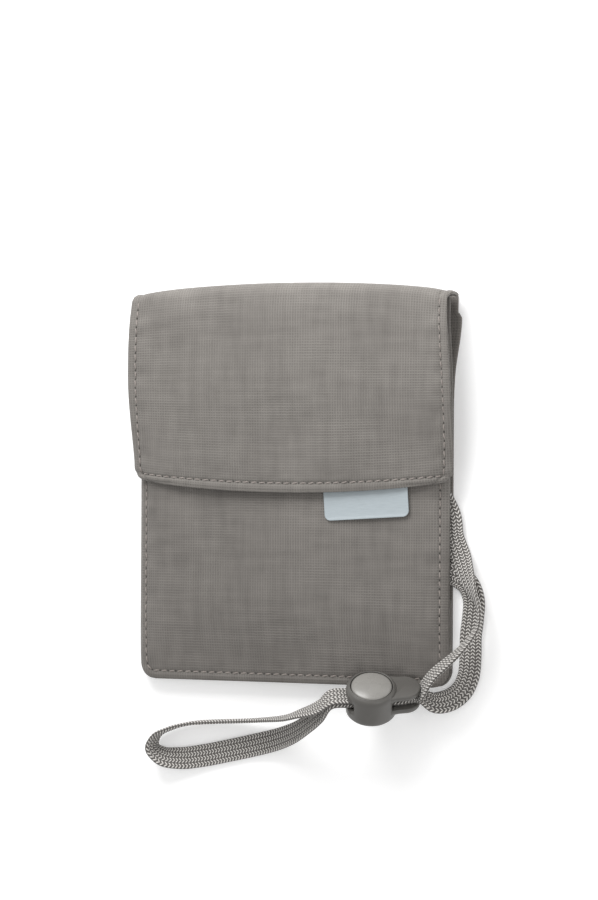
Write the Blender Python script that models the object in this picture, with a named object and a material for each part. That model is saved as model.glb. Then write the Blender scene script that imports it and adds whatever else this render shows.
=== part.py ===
"""A neck pouch wallet, lying on its back with its flap closed.

Metres, +Z up. X runs across the pouch, Y runs from its bottom edge to its top
fold, and the rear panel rests on z = 0. The flap, the zip slider, its puller,
the cord lock and the lock's button are bodies of their own.
"""

import math

import bmesh
import bpy
from mathutils import Vector

MM = 0.001

# --- overall sizes -------------------------------------------------------
BODY_W = 137.0 * MM          # across the side seams
BODY_BOTTOM = -81.1 * MM     # y of the bottom edge
FOLD_TOP = 81.1 * MM         # y of the top fold, at the middle
FOLD_ARCH = 3.5 * MM         # how far the fold falls away at the sides
CORNER_R = 7.0 * MM          # bottom corners
GAP = 0.3 * MM               # clearance between touching cloth layers

# --- layers, from the floor up --------------------------------------------
REAR_T = 0.8 * MM            # rear panel
STOW_H = 1.9 * MM            # space behind the back panel, for the strap
BACK_T = 0.9 * MM            # back panel
ROOM_H = 4.9 * MM            # main compartment
INNER_T = 0.8 * MM           # inner front panel
FRONT_T = 0.7 * MM           # outer front panel
SEAM_W = 2.2 * MM            # sewn rims
FALL_Y = 40.0 * MM           # length over which the front falls to the bottom
FALL_H = 5.5 * MM            # how far it falls

# --- flap -----------------------------------------------------------------
FLAP_W = 139.0 * MM
FLAP_T = 1.2 * MM
FLAP_END = -3.8 * MM         # y of its lower edge, at the middle
FLAP_BOW = 3.9 * MM          # how far that edge rises at the sides
FLAP_CORNER = 6.0 * MM
FLAP_PUFF = 1.6 * MM         # how far the middle stands above the lower edge
HINGE_OUT = 0.9 * MM         # hinge line outside the fold
ROOT_GAP = 1.5 * MM          # between the fixed fold strip and the flap
HOOK_W = 60.0 * MM
HOOK_H = 11.0 * MM
HOOK_Y = 8.6 * MM
HOOK_T = 0.5 * MM
LABEL_W = 36.0 * MM
LABEL_H = 16.4 * MM
LABEL_T = 0.5 * MM
LABEL_X = 32.8 * MM
LABEL_TILT = 3.6             # degrees

# --- zip ------------------------------------------------------------------
ZIP_Y = 63.0 * MM
ZIP_L = 126.0 * MM
TEETH_W = 2.6 * MM
TAPE_W = 2.6 * MM
CHEEK_T = 0.7 * MM
SLIDER_L = 8.0 * MM
SLIDER_T = 1.0 * MM
SLIDER_X = 52.0 * MM
STOP_L = 2.0 * MM
PULLER_L = 20.0 * MM
PULLER_W = 5.0 * MM
PULLER_T = 0.8 * MM
PULLER_LIFT = 0.3 * MM      # so that it clears the stops
PIN_R = 1.1 * MM

# --- strap ----------------------------------------------------------------
STRAP_W = 9.2 * MM
STRAP_T = 1.6 * MM
HANK_RUNS = 7
HANK_PITCH = 12.6 * MM
HANK_X0 = -60.0 * MM         # first run
HANK_Y0 = -60.0 * MM
HANK_Y1 = 55.0 * MM
ANCHOR_Y = 66.0 * MM
ANCHOR_H = 8.0 * MM
ANCHOR_X = 54.0 * MM
STRAP_OUT_LOW = -46.0 * MM    # the gap in the right rim that lets the strap out
STRAP_OUT_TOP = 3.0 * MM

# --- cord lock ------------------------------------------------------------
LOCK_AXIS = Vector((0.2306, 0.7880, 0.5700)).normalized()
LOCK_RUN = Vector((-0.8975, -0.0535, 0.4370))
LOCK_R = 10.2 * MM
LOCK_OFF = LOCK_R - 10.2 * MM  # a wider lock or a deeper pouch moves it outwards
LOCK_UP = ROOM_H - 4.9 * MM
LOCK_AT = Vector((38.0, -85.0, 16.8)) * MM + Vector((0, -0.57, 0.79)) * LOCK_OFF
LOCK_AT = LOCK_AT + Vector((0, 0, 1)) * LOCK_UP
LOCK_TOP = 6.0 * MM
LOCK_LOW = -6.6 * MM
WALL = 1.75 * MM
BASE_T = 0.7 * MM
SLOT_W = 13.5 * MM
SLOT_LOW = -1.6 * MM
SLOT_TOP = 2.8 * MM
EAR_X = 12.2 * MM
EAR_R = 6.4 * MM
EAR_T = 2.3 * MM
BUTTON_FIT = 0.3 * MM
BUTTON_TRAVEL = 2.2 * MM
BUTTON_RISE = 1.3 * MM
BUTTON_LIP = 0.2 * MM
FLOOR_T = 1.0 * MM
SPRING_WIRE = 0.5 * MM
STRAND_STEP = 2.0 * MM       # between the two strands in the lock

# --- heights that follow ----------------------------------------------------
Z_BACK = REAR_T + GAP + STOW_H + GAP
Z_ROOM = Z_BACK + BACK_T
Z_INNER = Z_ROOM + ROOM_H
Z_FRONT = Z_INNER + INNER_T + GAP
Z_FACE = Z_FRONT + FRONT_T
Z_STRAP = REAR_T + GAP + STOW_H / 2
Z_LOOP = Z_FACE + GAP
Z_HOOK = Z_LOOP + HOOK_T + GAP
Z_FLAP = Z_HOOK + HOOK_T + GAP + FLAP_T
Z_HINGE = Z_FLAP - 5.5 * MM
INSIDE_W = BODY_W - 2 * (SEAM_W + GAP)
MOUTH_INSET = FLAP_T + 2 * GAP
LIP_INSET = 1.2 * MM


def clear_scene():
    """Take every object out of the scene."""
    for obj in list(bpy.data.objects):
        bpy.data.objects.remove(obj, do_unlink=True)


def material(name, color, rough, metal=0.0):
    """Return a Principled material with one colour."""
    mat = bpy.data.materials.new(name)
    mat.use_nodes = True
    bsdf = mat.node_tree.nodes["Principled BSDF"]
    bsdf.inputs["Base Color"].default_value = (*color, 1.0)
    bsdf.inputs["Roughness"].default_value = rough
    bsdf.inputs["Metallic"].default_value = metal
    return mat


def add(name, verts, faces, mat, parent=None, smooth=False):
    """Make a mesh object, its faces turned outward."""
    bm = bmesh.new()
    points = [bm.verts.new(v) for v in verts]
    for face in faces:
        bm.faces.new([points[i] for i in face])
    bmesh.ops.recalc_face_normals(bm, faces=bm.faces[:])
    if bm.calc_volume(signed=True) < 0:
        bmesh.ops.reverse_faces(bm, faces=bm.faces[:])
    mesh = bpy.data.meshes.new(name)
    bm.to_mesh(mesh)
    bm.free()
    if smooth:
        mesh.shade_smooth()
        mesh.set_sharp_from_angle(angle=math.radians(40))
    obj = bpy.data.objects.new(name, mesh)
    bpy.context.collection.objects.link(obj)
    obj.data.materials.append(mat)
    if parent is not None:
        obj.parent = parent
        obj.matrix_parent_inverse = parent.matrix_world.inverted()
    return obj


def axis_empty(name, at, matrix=None):
    """Make an empty on a joint's axis."""
    empty = bpy.data.objects.new(name, None)
    empty.empty_display_size = 0.01
    bpy.context.collection.objects.link(empty)
    if matrix is not None:
        empty.matrix_world = matrix
    empty.location = at
    bpy.context.view_layer.update()
    return empty


def prism(name, outline, low, high, mat, parent=None):
    """Extrude a flat outline from low to high.

    low and high are heights, or functions of (x, y).
    """
    low_of = low if callable(low) else (lambda x, y: low)
    high_of = high if callable(high) else (lambda x, y: high)
    count = len(outline)
    verts = [(x, y, low_of(x, y)) for x, y in outline]
    verts += [(x, y, high_of(x, y)) for x, y in outline]
    faces = [list(range(count)), list(range(count, 2 * count))]
    for i in range(count):
        j = (i + 1) % count
        faces.append((i, j, count + j, count + i))
    return add(name, verts, faces, mat, parent)


def box(name, x0, x1, y0, y1, z0, z1, mat, parent=None):
    """Make a box from its six limits."""
    outline = [(x0, y0), (x1, y0), (x1, y1), (x0, y1)]
    return prism(name, outline, z0, z1, mat, parent)


def arc(cx, cy, radius, start, end, steps):
    """Return points on an arc, angles in degrees."""
    points = []
    for i in range(steps + 1):
        a = math.radians(start + (end - start) * i / steps)
        points.append((cx + radius * math.cos(a), cy + radius * math.sin(a)))
    return points


def arch(x):
    """How far the top fold has fallen away at x."""
    return FOLD_ARCH * (2 * x / BODY_W) ** 2


def top_line(half, inset, steps=14):
    """Points along an edge that follows the top fold, right to left."""
    points = []
    for i in range(steps + 1):
        x = half - 2 * half * i / steps
        points.append((x, FOLD_TOP - inset - arch(x)))
    return points


def pouch_outline(inset, top_inset, bottom=None):
    """The pouch's outline, rounded below and arched above."""
    half = BODY_W / 2 - inset
    low = BODY_BOTTOM + inset if bottom is None else bottom
    r = max(CORNER_R - inset, 1 * MM)
    points = arc(-half + r, low + r, r, 180, 270, 6)
    points += arc(half - r, low + r, r, 270, 360, 6)
    return points + top_line(half, top_inset)


def fall(y):
    """How far the front has fallen at y, towards the bottom edge."""
    u = min(max((y - BODY_BOTTOM) / FALL_Y, 0.0), 1.0)
    return FALL_H * (1 - math.sin(math.pi / 2 * u))


def grid_sheet(name, rows, thickness, mat, parent=None):
    """A closed sheet from rows of (top point, downward direction)."""
    n = len(rows[0])
    verts = [p for row in rows for p, _ in row]
    verts += [p + d * thickness for row in rows for p, d in row]
    off = len(rows) * n
    faces = []
    for i in range(len(rows) - 1):
        for j in range(n - 1):
            a = i * n + j
            faces.append((a, a + 1, a + n + 1, a + n))
            faces.append((off + a, off + a + n, off + a + n + 1, off + a + 1))
    rim = [(0, j) for j in range(n)]
    rim += [(i, n - 1) for i in range(1, len(rows))]
    rim += [(len(rows) - 1, j) for j in range(n - 2, -1, -1)]
    rim += [(i, 0) for i in range(len(rows) - 2, 0, -1)]
    for k in range(len(rim)):
        a = rim[k][0] * n + rim[k][1]
        b = rim[(k + 1) % len(rim)]
        b = b[0] * n + b[1]
        faces.append((a, b, off + b, off + a))
    return add(name, verts, faces, mat, parent, smooth=True)


def front_sheet(name, z_low, thickness, half, y0, y1_of, mat):
    """A sheet that follows the pouch's front, with rounded lower corners."""
    ys = 16
    xs = 16
    rows = []
    for i in range(ys + 1):
        row = []
        for j in range(xs + 1):
            u = j / xs
            x_side = half * (2 * u - 1)
            t = (i / ys) ** 1.4
            y = y0 + (y1_of(x_side) - y0) * t
            r = CORNER_R
            cut = 0.0
            if y < y0 + r:
                cut = r - math.sqrt(max(r * r - (y0 + r - y) ** 2, 0.0))
            x = (half - cut) * (2 * u - 1)
            z = z_low - fall(y)
            row.append((Vector((x, y, z)), Vector((0, 0, 1))))
        rows.append(row)
    return grid_sheet(name, rows, thickness, mat)


def flap_profile():
    """Outer surface of the flap at the middle, from hinge to lower edge."""
    z = Z_FLAP
    top = FOLD_TOP
    end = FLAP_END
    span = top - end
    points = [(top - 0.0 * MM, Z_HINGE + 0.5 * MM)]
    points.append((top - 0.3 * MM, Z_HINGE + 2.4 * MM))
    points.append((top - 2.4 * MM, z - 0.6 * MM))
    points.append((top - 8.0 * MM, z + 0.9 * MM))
    points.append((top - 0.25 * span, z + FLAP_PUFF))
    points.append((top - 0.42 * span, z + FLAP_PUFF))
    points.append((top - 0.60 * span, z + 0.75 * FLAP_PUFF))
    points.append((top - 0.80 * span, z + 0.35 * FLAP_PUFF))
    points.append((end, z - 0.1 * MM))
    return points


def smooth_line(points, per):
    """Read a smooth curve through points, per steps to each span."""
    out = []
    count = len(points)
    for i in range(count - 1):
        p0 = points[max(i - 1, 0)]
        p1 = points[i]
        p2 = points[i + 1]
        p3 = points[min(i + 2, count - 1)]
        for k in range(per):
            out.append(catmull(p0, p1, p2, p3, k / per))
    out.append(Vector(points[-1]))
    return out


def catmull(p0, p1, p2, p3, t):
    """One point of a centripetal-style cubic between p1 and p2."""
    p0, p1, p2, p3 = Vector(p0), Vector(p1), Vector(p2), Vector(p3)
    d0 = max((p1 - p0).length, 1e-9)
    d1 = max((p2 - p1).length, 1e-9)
    d2 = max((p3 - p2).length, 1e-9)
    m1 = (p2 - p1) / d1
    m2 = (p2 - p1) / d1
    if (p1 - p0).length > 1e-9:
        m1 = ((p1 - p0) / d0 * d1 + (p2 - p1) / d1 * d0) / (d0 + d1)
    if (p3 - p2).length > 1e-9:
        m2 = ((p2 - p1) / d1 * d2 + (p3 - p2) / d2 * d1) / (d1 + d2)
    a = 2 * t ** 3 - 3 * t ** 2 + 1
    b = t ** 3 - 2 * t ** 2 + t
    c = -2 * t ** 3 + 3 * t ** 2
    d = t ** 3 - t ** 2
    return p1 * a + m1 * (d1 * b) + p2 * c + m2 * (d1 * d)


def flap_sheet(mat, parent):
    """The flap: arched at the fold, bowed and rounded at its lower edge."""
    line = smooth_line([Vector((0, y, z)) for y, z in flap_profile()], 3)
    half = FLAP_W / 2
    y_top = line[0].y
    y_low = line[-1].y
    xs = 20
    rows = []
    for i, p in enumerate(line):
        tangent = line[min(i + 1, len(line) - 1)] - line[max(i - 1, 0)]
        inward = Vector((0, tangent.z, -tangent.y)).normalized()
        if inward.z > 0:
            inward = -inward
        if i < 2:
            inward = Vector((0, -1, 0))
        share = (y_top - p.y) / (y_top - y_low)
        row = []
        for j in range(xs + 1):
            u = 2 * j / xs - 1
            rise = FLAP_BOW * u * u * share
            y = p.y - arch(half * u) * (1 - share) + rise
            edge = y_low + FLAP_BOW + FLAP_CORNER
            cut = 0.0
            if y < edge:
                d = min(edge - y, FLAP_CORNER)
                cut = FLAP_CORNER - math.sqrt(FLAP_CORNER ** 2 - d * d)
            x = (half - 0.9 * cut) * u
            row.append((Vector((x, y, p.z)), inward))
        rows.append(row)
    return grid_sheet("flap_shell", rows, FLAP_T, mat, parent)


def ribbon(name, stations, mat, width=None, thick=None):
    """Sweep the strap's flat section along (point, width direction)."""
    w = (width or STRAP_W) / 2
    t = (thick or STRAP_T) / 2
    section = [(-w, 0), (-w + t, t), (w - t, t), (w, 0), (w - t, -t), (-w + t, -t)]
    verts = []
    count = len(stations)
    for i, (p, side) in enumerate(stations):
        ahead = stations[min(i + 1, count - 1)][0] - stations[max(i - 1, 0)][0]
        ahead.normalize()
        s = (side - ahead * side.dot(ahead)).normalized()
        n = ahead.cross(s)
        for a, b in section:
            verts.append(p + s * a + n * b)
    k = len(section)
    faces = [list(range(k)), list(range((count - 1) * k, count * k))]
    for i in range(count - 1):
        for j in range(k):
            m = (j + 1) % k
            faces.append((i * k + j, i * k + m, (i + 1) * k + m, (i + 1) * k + j))
    return add(name, verts, faces, mat, smooth=True)


def in_lock(run, rise, side=0.0):
    """A point by its place along the strands, along the axis, and across."""
    across = LOCK_AXIS.cross(LOCK_RUN).normalized()
    return LOCK_AT + LOCK_RUN * run + LOCK_AXIS * rise + across * side


def strap_route():
    """Route points and width directions, from the right anchor to the hank."""
    mid = (SLOT_LOW + SLOT_TOP) / 2
    up = mid + STRAND_STEP / 2
    low = mid - STRAND_STEP / 2
    wide = LOCK_AXIS.cross(LOCK_RUN).normalized()
    z0 = Z_STRAP
    route = []

    def put(x, y, z, a, b, c):
        z = z0 if z is None else z * MM
        route.append((Vector((x * MM, y * MM, z)), Vector((a, b, c)).normalized()))

    end = (ANCHOR_Y - GAP) / MM
    ax = ANCHOR_X / MM
    for y in (end, 48, 30, 14):
        put(ax, y, None, 1, 0, 0)
    put(56.2, 3.5, None, 1, 0.3, 0)
    put(61.8, -5.0, None, 0.83, 0.55, 0)
    put(65.8, -13.0, None, 0.97, 0.25, 0)
    put(66.9, -21.0, None, 0.92, 0.38, 0)
    put(70.2, -29.2, 2.1, 0.80, 0.60, 0.02)
    put(73.9, -36.8, 4.8, 0.82, 0.27, 0.50)
    put(77.4, -43.0, 7.5, 0.58, 0.06, 0.81)
    put(80.2, -49.2, 8.5, 0.38, 0.00, 0.93)
    put(79.8, -55.8, 8.8, 0.35, -0.10, 0.93)
    put(76.6, -61.6, 10.4, 0.30, -0.25, 0.93)
    put(72.6, -66.4, 12.2, 0.28, -0.34, 0.90)
    put(68.2, -70.6, 13.4, 0.28, -0.42, 0.86)
    put(63.8, -74.4, 13.9, 0.30, -0.50, 0.81)
    put(60.2, -78.4, 13.0, 0.35, -0.58, 0.74)
    put(57.8, -81.4, 11.2, 0.37, -0.60, 0.71)
    for run in (-19.5, -10, 0, 10, 15.5):
        route.append((in_lock(run * MM, up), wide))
    put(17.6, -88.8, 22.6, 0.30, -0.45, 0.80)
    put(8.0, -92.0, 18.4, 0.16, -0.25, 0.93)
    put(-2.0, -94.8, 12.4, 0.08, -0.10, 0.98)
    put(-12.0, -96.2, 8.2, 0.03, -0.03, 1)
    put(-22.0, -97.2, 5.9, 0, 0, 1)
    put(-34.0, -98.0, 5.1, 0, 0, 1)
    put(-46.0, -99.2, 5.0, 0, 0, 1)
    put(-55.0, -101.6, 5.0, 0, 0, 1)
    put(-61.6, -105.2, 5.0, -0.05, 0.0, 1)
    put(-63.2, -109.6, 4.7, -0.25, -0.15, 0.95)
    put(-59.4, -113.0, 3.7, -0.30, -0.65, 0.70)
    put(-52.0, -113.9, 2.3, -0.05, -0.95, 0.30)
    put(-42.0, -112.6, 1.4, 0.12, -0.99, 0.06)
    put(-30.0, -110.0, 1.2, 0.2, -0.98, 0)
    put(-19.0, -107.4, 1.4, 0.22, -0.97, 0.04)
    put(-8.5, -104.6, 3.4, 0.25, -0.93, 0.2)
    put(1.0, -101.2, 8.0, 0.30, -0.86, 0.38)
    put(9.5, -96.8, 13.8, 0.34, -0.76, 0.52)
    put(17.6, -91.7, 19.6, 0.37, -0.68, 0.62)
    for run in (15.5, 10, 0, -10, -19.5):
        route.append((in_lock(run * MM, low), wide))
    put(60.6, -87.0, 5.4, 0.25, -0.87, 0.40)
    put(66.0, -86.0, 2.8, 0.36, -0.92, 0.15)
    put(70.6, -82.4, 1.7, 0.72, -0.69, 0.04)
    put(73.4, -76.6, 1.4, 0.93, -0.36, 0)
    put(74.2, -69.0, 1.25, 1, -0.1, 0)
    put(74.3, -60.3, 1.2, 1, 0, 0)
    put(75.2, -53.0, 1.2, 1, -0.02, 0)
    put(75.4, -45.5, 1.2, 0.97, 0.20, 0)
    put(73.0, -39.6, 1.4, 0.75, 0.66, 0)
    put(67.6, -36.2, 2.0, 0.38, 0.92, 0)
    put(61.0, -35.2, None, 0.1, 1, 0)
    put(50.0, -35.0, None, 0, 1, 0)
    put(36.0, -35.0, None, 0, 1, 0)
    put((hank_edge() + GAP) / MM, -35.0, None, 0, 1, 0)
    return route


def strap_stations():
    """Smooth stations along the route."""
    route = strap_route()
    points = smooth_line([p for p, _ in route], 2)
    sides = smooth_line([s for _, s in route], 2)
    return [(p, s.normalized()) for p, s in zip(points, sides)]


def hank_edge():
    """x of the hank's right side."""
    return HANK_X0 + (HANK_RUNS - 1) * HANK_PITCH + STRAP_W / 2 + 0.6 * MM


def cylinder(name, radius, low, high, segments, mat, top=None):
    """A turned solid around the lock's own Z axis, as (r, z) pairs."""
    verts = []
    faces = []
    rings = [(radius, low), (radius, high)] + (top or [])
    for r, z in rings:
        for i in range(segments):
            a = 2 * math.pi * i / segments
            verts.append((r * math.cos(a), r * math.sin(a), z))
    for k in range(len(rings) - 1):
        for i in range(segments):
            j = (i + 1) % segments
            a = k * segments
            b = (k + 1) * segments
            faces.append((a + i, a + j, b + j, b + i))
    faces.append(list(range(segments)))
    last = (len(rings) - 1) * segments
    faces.append([last + i for i in range(segments)])
    return add(name, verts, faces, mat, smooth=True)


def cut(target, cutter, operation="DIFFERENCE"):
    """Apply one exact Boolean and take the cutter away."""
    mod = target.modifiers.new("cut", "BOOLEAN")
    mod.operation = operation
    mod.solver = "EXACT"
    mod.object = cutter
    bpy.context.view_layer.update()
    graph = bpy.context.evaluated_depsgraph_get()
    mesh = bpy.data.meshes.new_from_object(target.evaluated_get(graph))
    target.modifiers.clear()
    target.data = mesh
    bpy.data.objects.remove(cutter, do_unlink=True)


def local_box(x0, x1, y0, y1, z0, z1, mat):
    """A cutting box in the lock's own axes."""
    return box("cutter", x0, x1, y0, y1, z0, z1, mat)


def ear(z0, z1, mat):
    """A rounded tab that guides the strands, in the lock's own axes."""
    outline = [(-0.5 * LOCK_R, -EAR_R), (-EAR_X, -EAR_R)]
    outline += arc(-EAR_X, 0, EAR_R, 270, 90, 14)[1:-1]
    outline += [(-EAR_X, EAR_R), (-0.5 * LOCK_R, EAR_R)]
    return prism("ear", outline, z0, z1, mat)


def lock_frame():
    """World matrix of the lock: X along the strands, Z along its axis."""
    z = LOCK_AXIS
    x = (LOCK_RUN - z * LOCK_RUN.dot(z)).normalized()
    y = z.cross(x)
    rows = [(x[i], y[i], z[i], LOCK_AT[i]) for i in range(3)]
    rows.append((0, 0, 0, 1))
    matrix = bpy.data.objects.new("frame", None).matrix_world.copy()
    for i in range(4):
        matrix[i] = rows[i]
    return matrix


def place(obj, matrix, parent):
    """Put an object made in the lock's own axes where the lock lies."""
    obj.data.transform(matrix)
    obj.parent = parent
    obj.matrix_parent_inverse = parent.matrix_world.inverted()


def build_pouch(cloth, lining, web, loop_mat):
    """Every layer that stays with the pouch."""
    prism("rear_panel", pouch_outline(0, MOUTH_INSET + GAP), 0, REAR_T, cloth)
    half = BODY_W / 2
    z0 = REAR_T + GAP
    z1 = z0 + STOW_H
    low = BODY_BOTTOM + CORNER_R + GAP
    side_top = FOLD_TOP - FOLD_ARCH - MOUTH_INSET - 2 * MM
    exit_low = STRAP_OUT_LOW
    exit_top = STRAP_OUT_TOP
    inner = half - SEAM_W
    box("rear_seam_left", -half, -inner, low, side_top, z0, z1, cloth)
    box("rear_seam_right_low", inner, half, low, exit_low, z0, z1, cloth)
    box("rear_seam_right_top", inner, half, exit_top, side_top, z0, z1, cloth)
    reach = half - CORNER_R
    box("rear_seam_bottom", -reach, reach, BODY_BOTTOM, BODY_BOTTOM + SEAM_W, z0, z1, cloth)

    back_low = BODY_BOTTOM + 9 * MM
    outline = pouch_outline(SEAM_W + GAP, MOUTH_INSET, back_low)
    prism("back_panel", outline, Z_BACK, Z_ROOM, lining)

    wall_low = Z_BACK
    y_top = side_top

    def wall_top(x, y):
        return Z_INNER - fall(y) - GAP

    steps = 12
    for name, sign in (("gusset_left", -1), ("gusset_right", 1)):
        verts = []
        for i in range(steps + 1):
            y = low + (y_top - low) * (i / steps) ** 1.5
            for x in (sign * inner, sign * half):
                verts.append((x, y, wall_low))
                verts.append((x, y, wall_top(x, y)))
        faces = [(0, 1, 3, 2), tuple(4 * steps + k for k in (0, 1, 3, 2))]
        for i in range(steps):
            a = 4 * i
            b = a + 4
            faces += [(a, a + 1, b + 1, b), (a + 2, a + 3, b + 3, b + 2)]
            faces += [(a, a + 2, b + 2, b), (a + 1, a + 3, b + 3, b + 1)]
        add(name, verts, faces, cloth)

    front_sheet("front_inner_panel", Z_INNER, INNER_T, half,
                BODY_BOTTOM,
                lambda x: FOLD_TOP - MOUTH_INSET - LIP_INSET - arch(x), lining)
    tape_low = ZIP_Y - TEETH_W / 2 - 2 * GAP - CHEEK_T - TAPE_W
    tape_top = ZIP_Y + TEETH_W / 2 + 2 * GAP + CHEEK_T + TAPE_W
    front_sheet("front_panel", Z_FRONT, FRONT_T, half,
                BODY_BOTTOM, lambda x: tape_low - GAP, cloth)
    strip = [(-half, tape_top + GAP), (half, tape_top + GAP)]
    strip += top_line(half, MOUTH_INSET + LIP_INSET)
    prism("front_top_strip", strip, Z_FRONT, Z_FACE, cloth)

    fold_strip(cloth)
    x = HOOK_W / 2
    y0 = HOOK_Y - HOOK_H / 2
    box("loop_patch", -x, x, y0, y0 + HOOK_H, Z_LOOP, Z_LOOP + HOOK_T, loop_mat)
    for name, sign in (("strap_anchor_left", -1), ("strap_anchor_right", 1)):
        cx = HANK_X0 if sign < 0 else ANCHOR_X
        w = STRAP_W / 2 + 0.6 * MM
        box(name, cx - w, cx + w, ANCHOR_Y, ANCHOR_Y + ANCHOR_H, z0, z1, web)


def fold_strip(mat):
    """The part of the top fold that stays with the back panel."""
    half = BODY_W / 2
    top = FOLD_TOP
    points = [(top - MOUTH_INSET + 2 * GAP, Z_BACK)]
    points.append((top - 0.7 * MM, Z_BACK + 1.0 * MM))
    points.append((top, Z_HINGE - ROOT_GAP + 0.5 * MM))
    rows = []
    inset = [Vector((0, 0, 1)), Vector((0, -0.92, 0.38)), Vector((0, -1, 0))]
    xs = 14
    for (y, z), d in zip(points, inset):
        row = []
        for j in range(xs + 1):
            x = half * (2 * j / xs - 1)
            row.append((Vector((x, y - arch(x), z)), d))
        rows.append(row)
    grid_sheet("fold_strip", rows, 0.9 * FLAP_T, mat)


def build_zip(tape, metal, plastic):
    """Tapes, teeth and stops, then the slider and its puller."""
    half = ZIP_L / 2
    z0 = Z_FRONT
    z1 = Z_FACE - 0.1 * MM
    inner = TEETH_W / 2 + 2 * GAP + CHEEK_T
    box("zip_tape_lower", -half, half, ZIP_Y - inner - TAPE_W, ZIP_Y - inner, z0, z1, tape)
    box("zip_tape_upper", -half, half, ZIP_Y + inner, ZIP_Y + inner + TAPE_W, z0, z1, tape)
    reach = half - STOP_L - GAP
    w = TEETH_W / 2
    box("zip_teeth", -reach, reach, ZIP_Y - w, ZIP_Y + w, z0, Z_FACE, plastic)
    for name, sign in (("zip_stop_left", -1), ("zip_stop_right", 1)):
        xs = sorted((sign * half, sign * (half - STOP_L)))
        box(name, xs[0], xs[1], ZIP_Y - w, ZIP_Y + w, z0, Z_FACE + 0.3 * MM, metal)

    slider = axis_empty("slider_origin", (SLIDER_X, ZIP_Y, Z_FACE))
    x0 = SLIDER_X - SLIDER_L / 2
    x1 = SLIDER_X + SLIDER_L / 2
    y = TEETH_W / 2 + GAP
    low = z0 + 0.1 * MM
    plate = Z_FACE + GAP
    top = plate + SLIDER_T
    profile = [(-y - CHEEK_T, low), (-y, low), (-y, plate), (y, plate)]
    profile += [(y, low), (y + CHEEK_T, low), (y + CHEEK_T, top), (-y - CHEEK_T, top)]
    verts = [(x, ZIP_Y + a, b) for x in (x0, x1) for a, b in profile]
    faces = [list(range(8)), list(range(8, 16))]
    for i in range(8):
        j = (i + 1) % 8
        faces.append((i, j, 8 + j, 8 + i))
    add("zip_slider", verts, faces, metal, slider)
    pin = (x0 - GAP - PIN_R, ZIP_Y, plate)
    puller = axis_empty("puller_axis", pin)
    puller.parent = slider
    puller.matrix_parent_inverse = slider.matrix_world.inverted()
    bpy.context.view_layer.update()
    w = PULLER_W / 2
    outline = arc(pin[0], ZIP_Y, PIN_R, -90, 90, 6)
    outline += [(pin[0] - 2 * PIN_R, ZIP_Y + w)]
    outline += arc(pin[0] - PULLER_L + w, ZIP_Y, w, 90, 270, 8)
    outline += [(pin[0] - 2 * PIN_R, ZIP_Y - w)]
    low = plate + PULLER_LIFT
    prism("zip_puller", outline, low, low + PULLER_T, metal, puller)


def build_flap(cloth, hook, label):
    """The flap with its fastener and its blank label."""
    hinge = axis_empty("flap_hinge_axis", (0, FOLD_TOP + HINGE_OUT, Z_HINGE))
    flap_sheet(cloth, hinge)
    x = HOOK_W / 2
    y0 = HOOK_Y - HOOK_H / 2
    box("hook_patch", -x, x, y0, y0 + HOOK_H, Z_HOOK, Z_HOOK + HOOK_T, hook, hinge)
    r = 2.5 * MM
    w = LABEL_W / 2
    top = 2.4 * MM
    low = top - LABEL_H
    outline = arc(-w + r, low + r, r, 180, 270, 5) + arc(w - r, low + r, r, 270, 360, 5)
    outline += [(w, top), (-w, top)]
    c = math.cos(math.radians(LABEL_TILT))
    s = math.sin(math.radians(LABEL_TILT))
    outline = [(LABEL_X + a * c - b * s, a * s + b * c) for a, b in outline]
    z = (Z_FACE + Z_FLAP - FLAP_T) / 2 - LABEL_T / 2
    prism("label_tab", outline, z, z + LABEL_T, label, hinge)


def build_strap(web):
    """The strap in three solids: its free run, its hank and its short end."""
    ribbon("strap_run", strap_stations(), web)
    edge = hank_edge()
    r = 6.0 * MM
    x0 = HANK_X0 - STRAP_W / 2 - 0.4 * MM
    low, high = HANK_Y0, HANK_Y1
    outline = arc(x0 + r, low + r, r, 180, 270, 6) + arc(edge - r, low + r, r, 270, 360, 6)
    outline += arc(edge - r, high - r, r, 0, 90, 6) + arc(x0 + r, high - r, r, 90, 180, 6)
    z = STRAP_T / 2 + 0.1 * MM
    prism("strap_hank", outline, Z_STRAP - z, Z_STRAP + z, web)
    side = Vector((1, 0, 0))
    ys = (HANK_Y1 + GAP, (HANK_Y1 + ANCHOR_Y) / 2, ANCHOR_Y - GAP)
    ribbon("strap_end", [(Vector((HANK_X0, y, Z_STRAP)), side) for y in ys], web)


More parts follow.
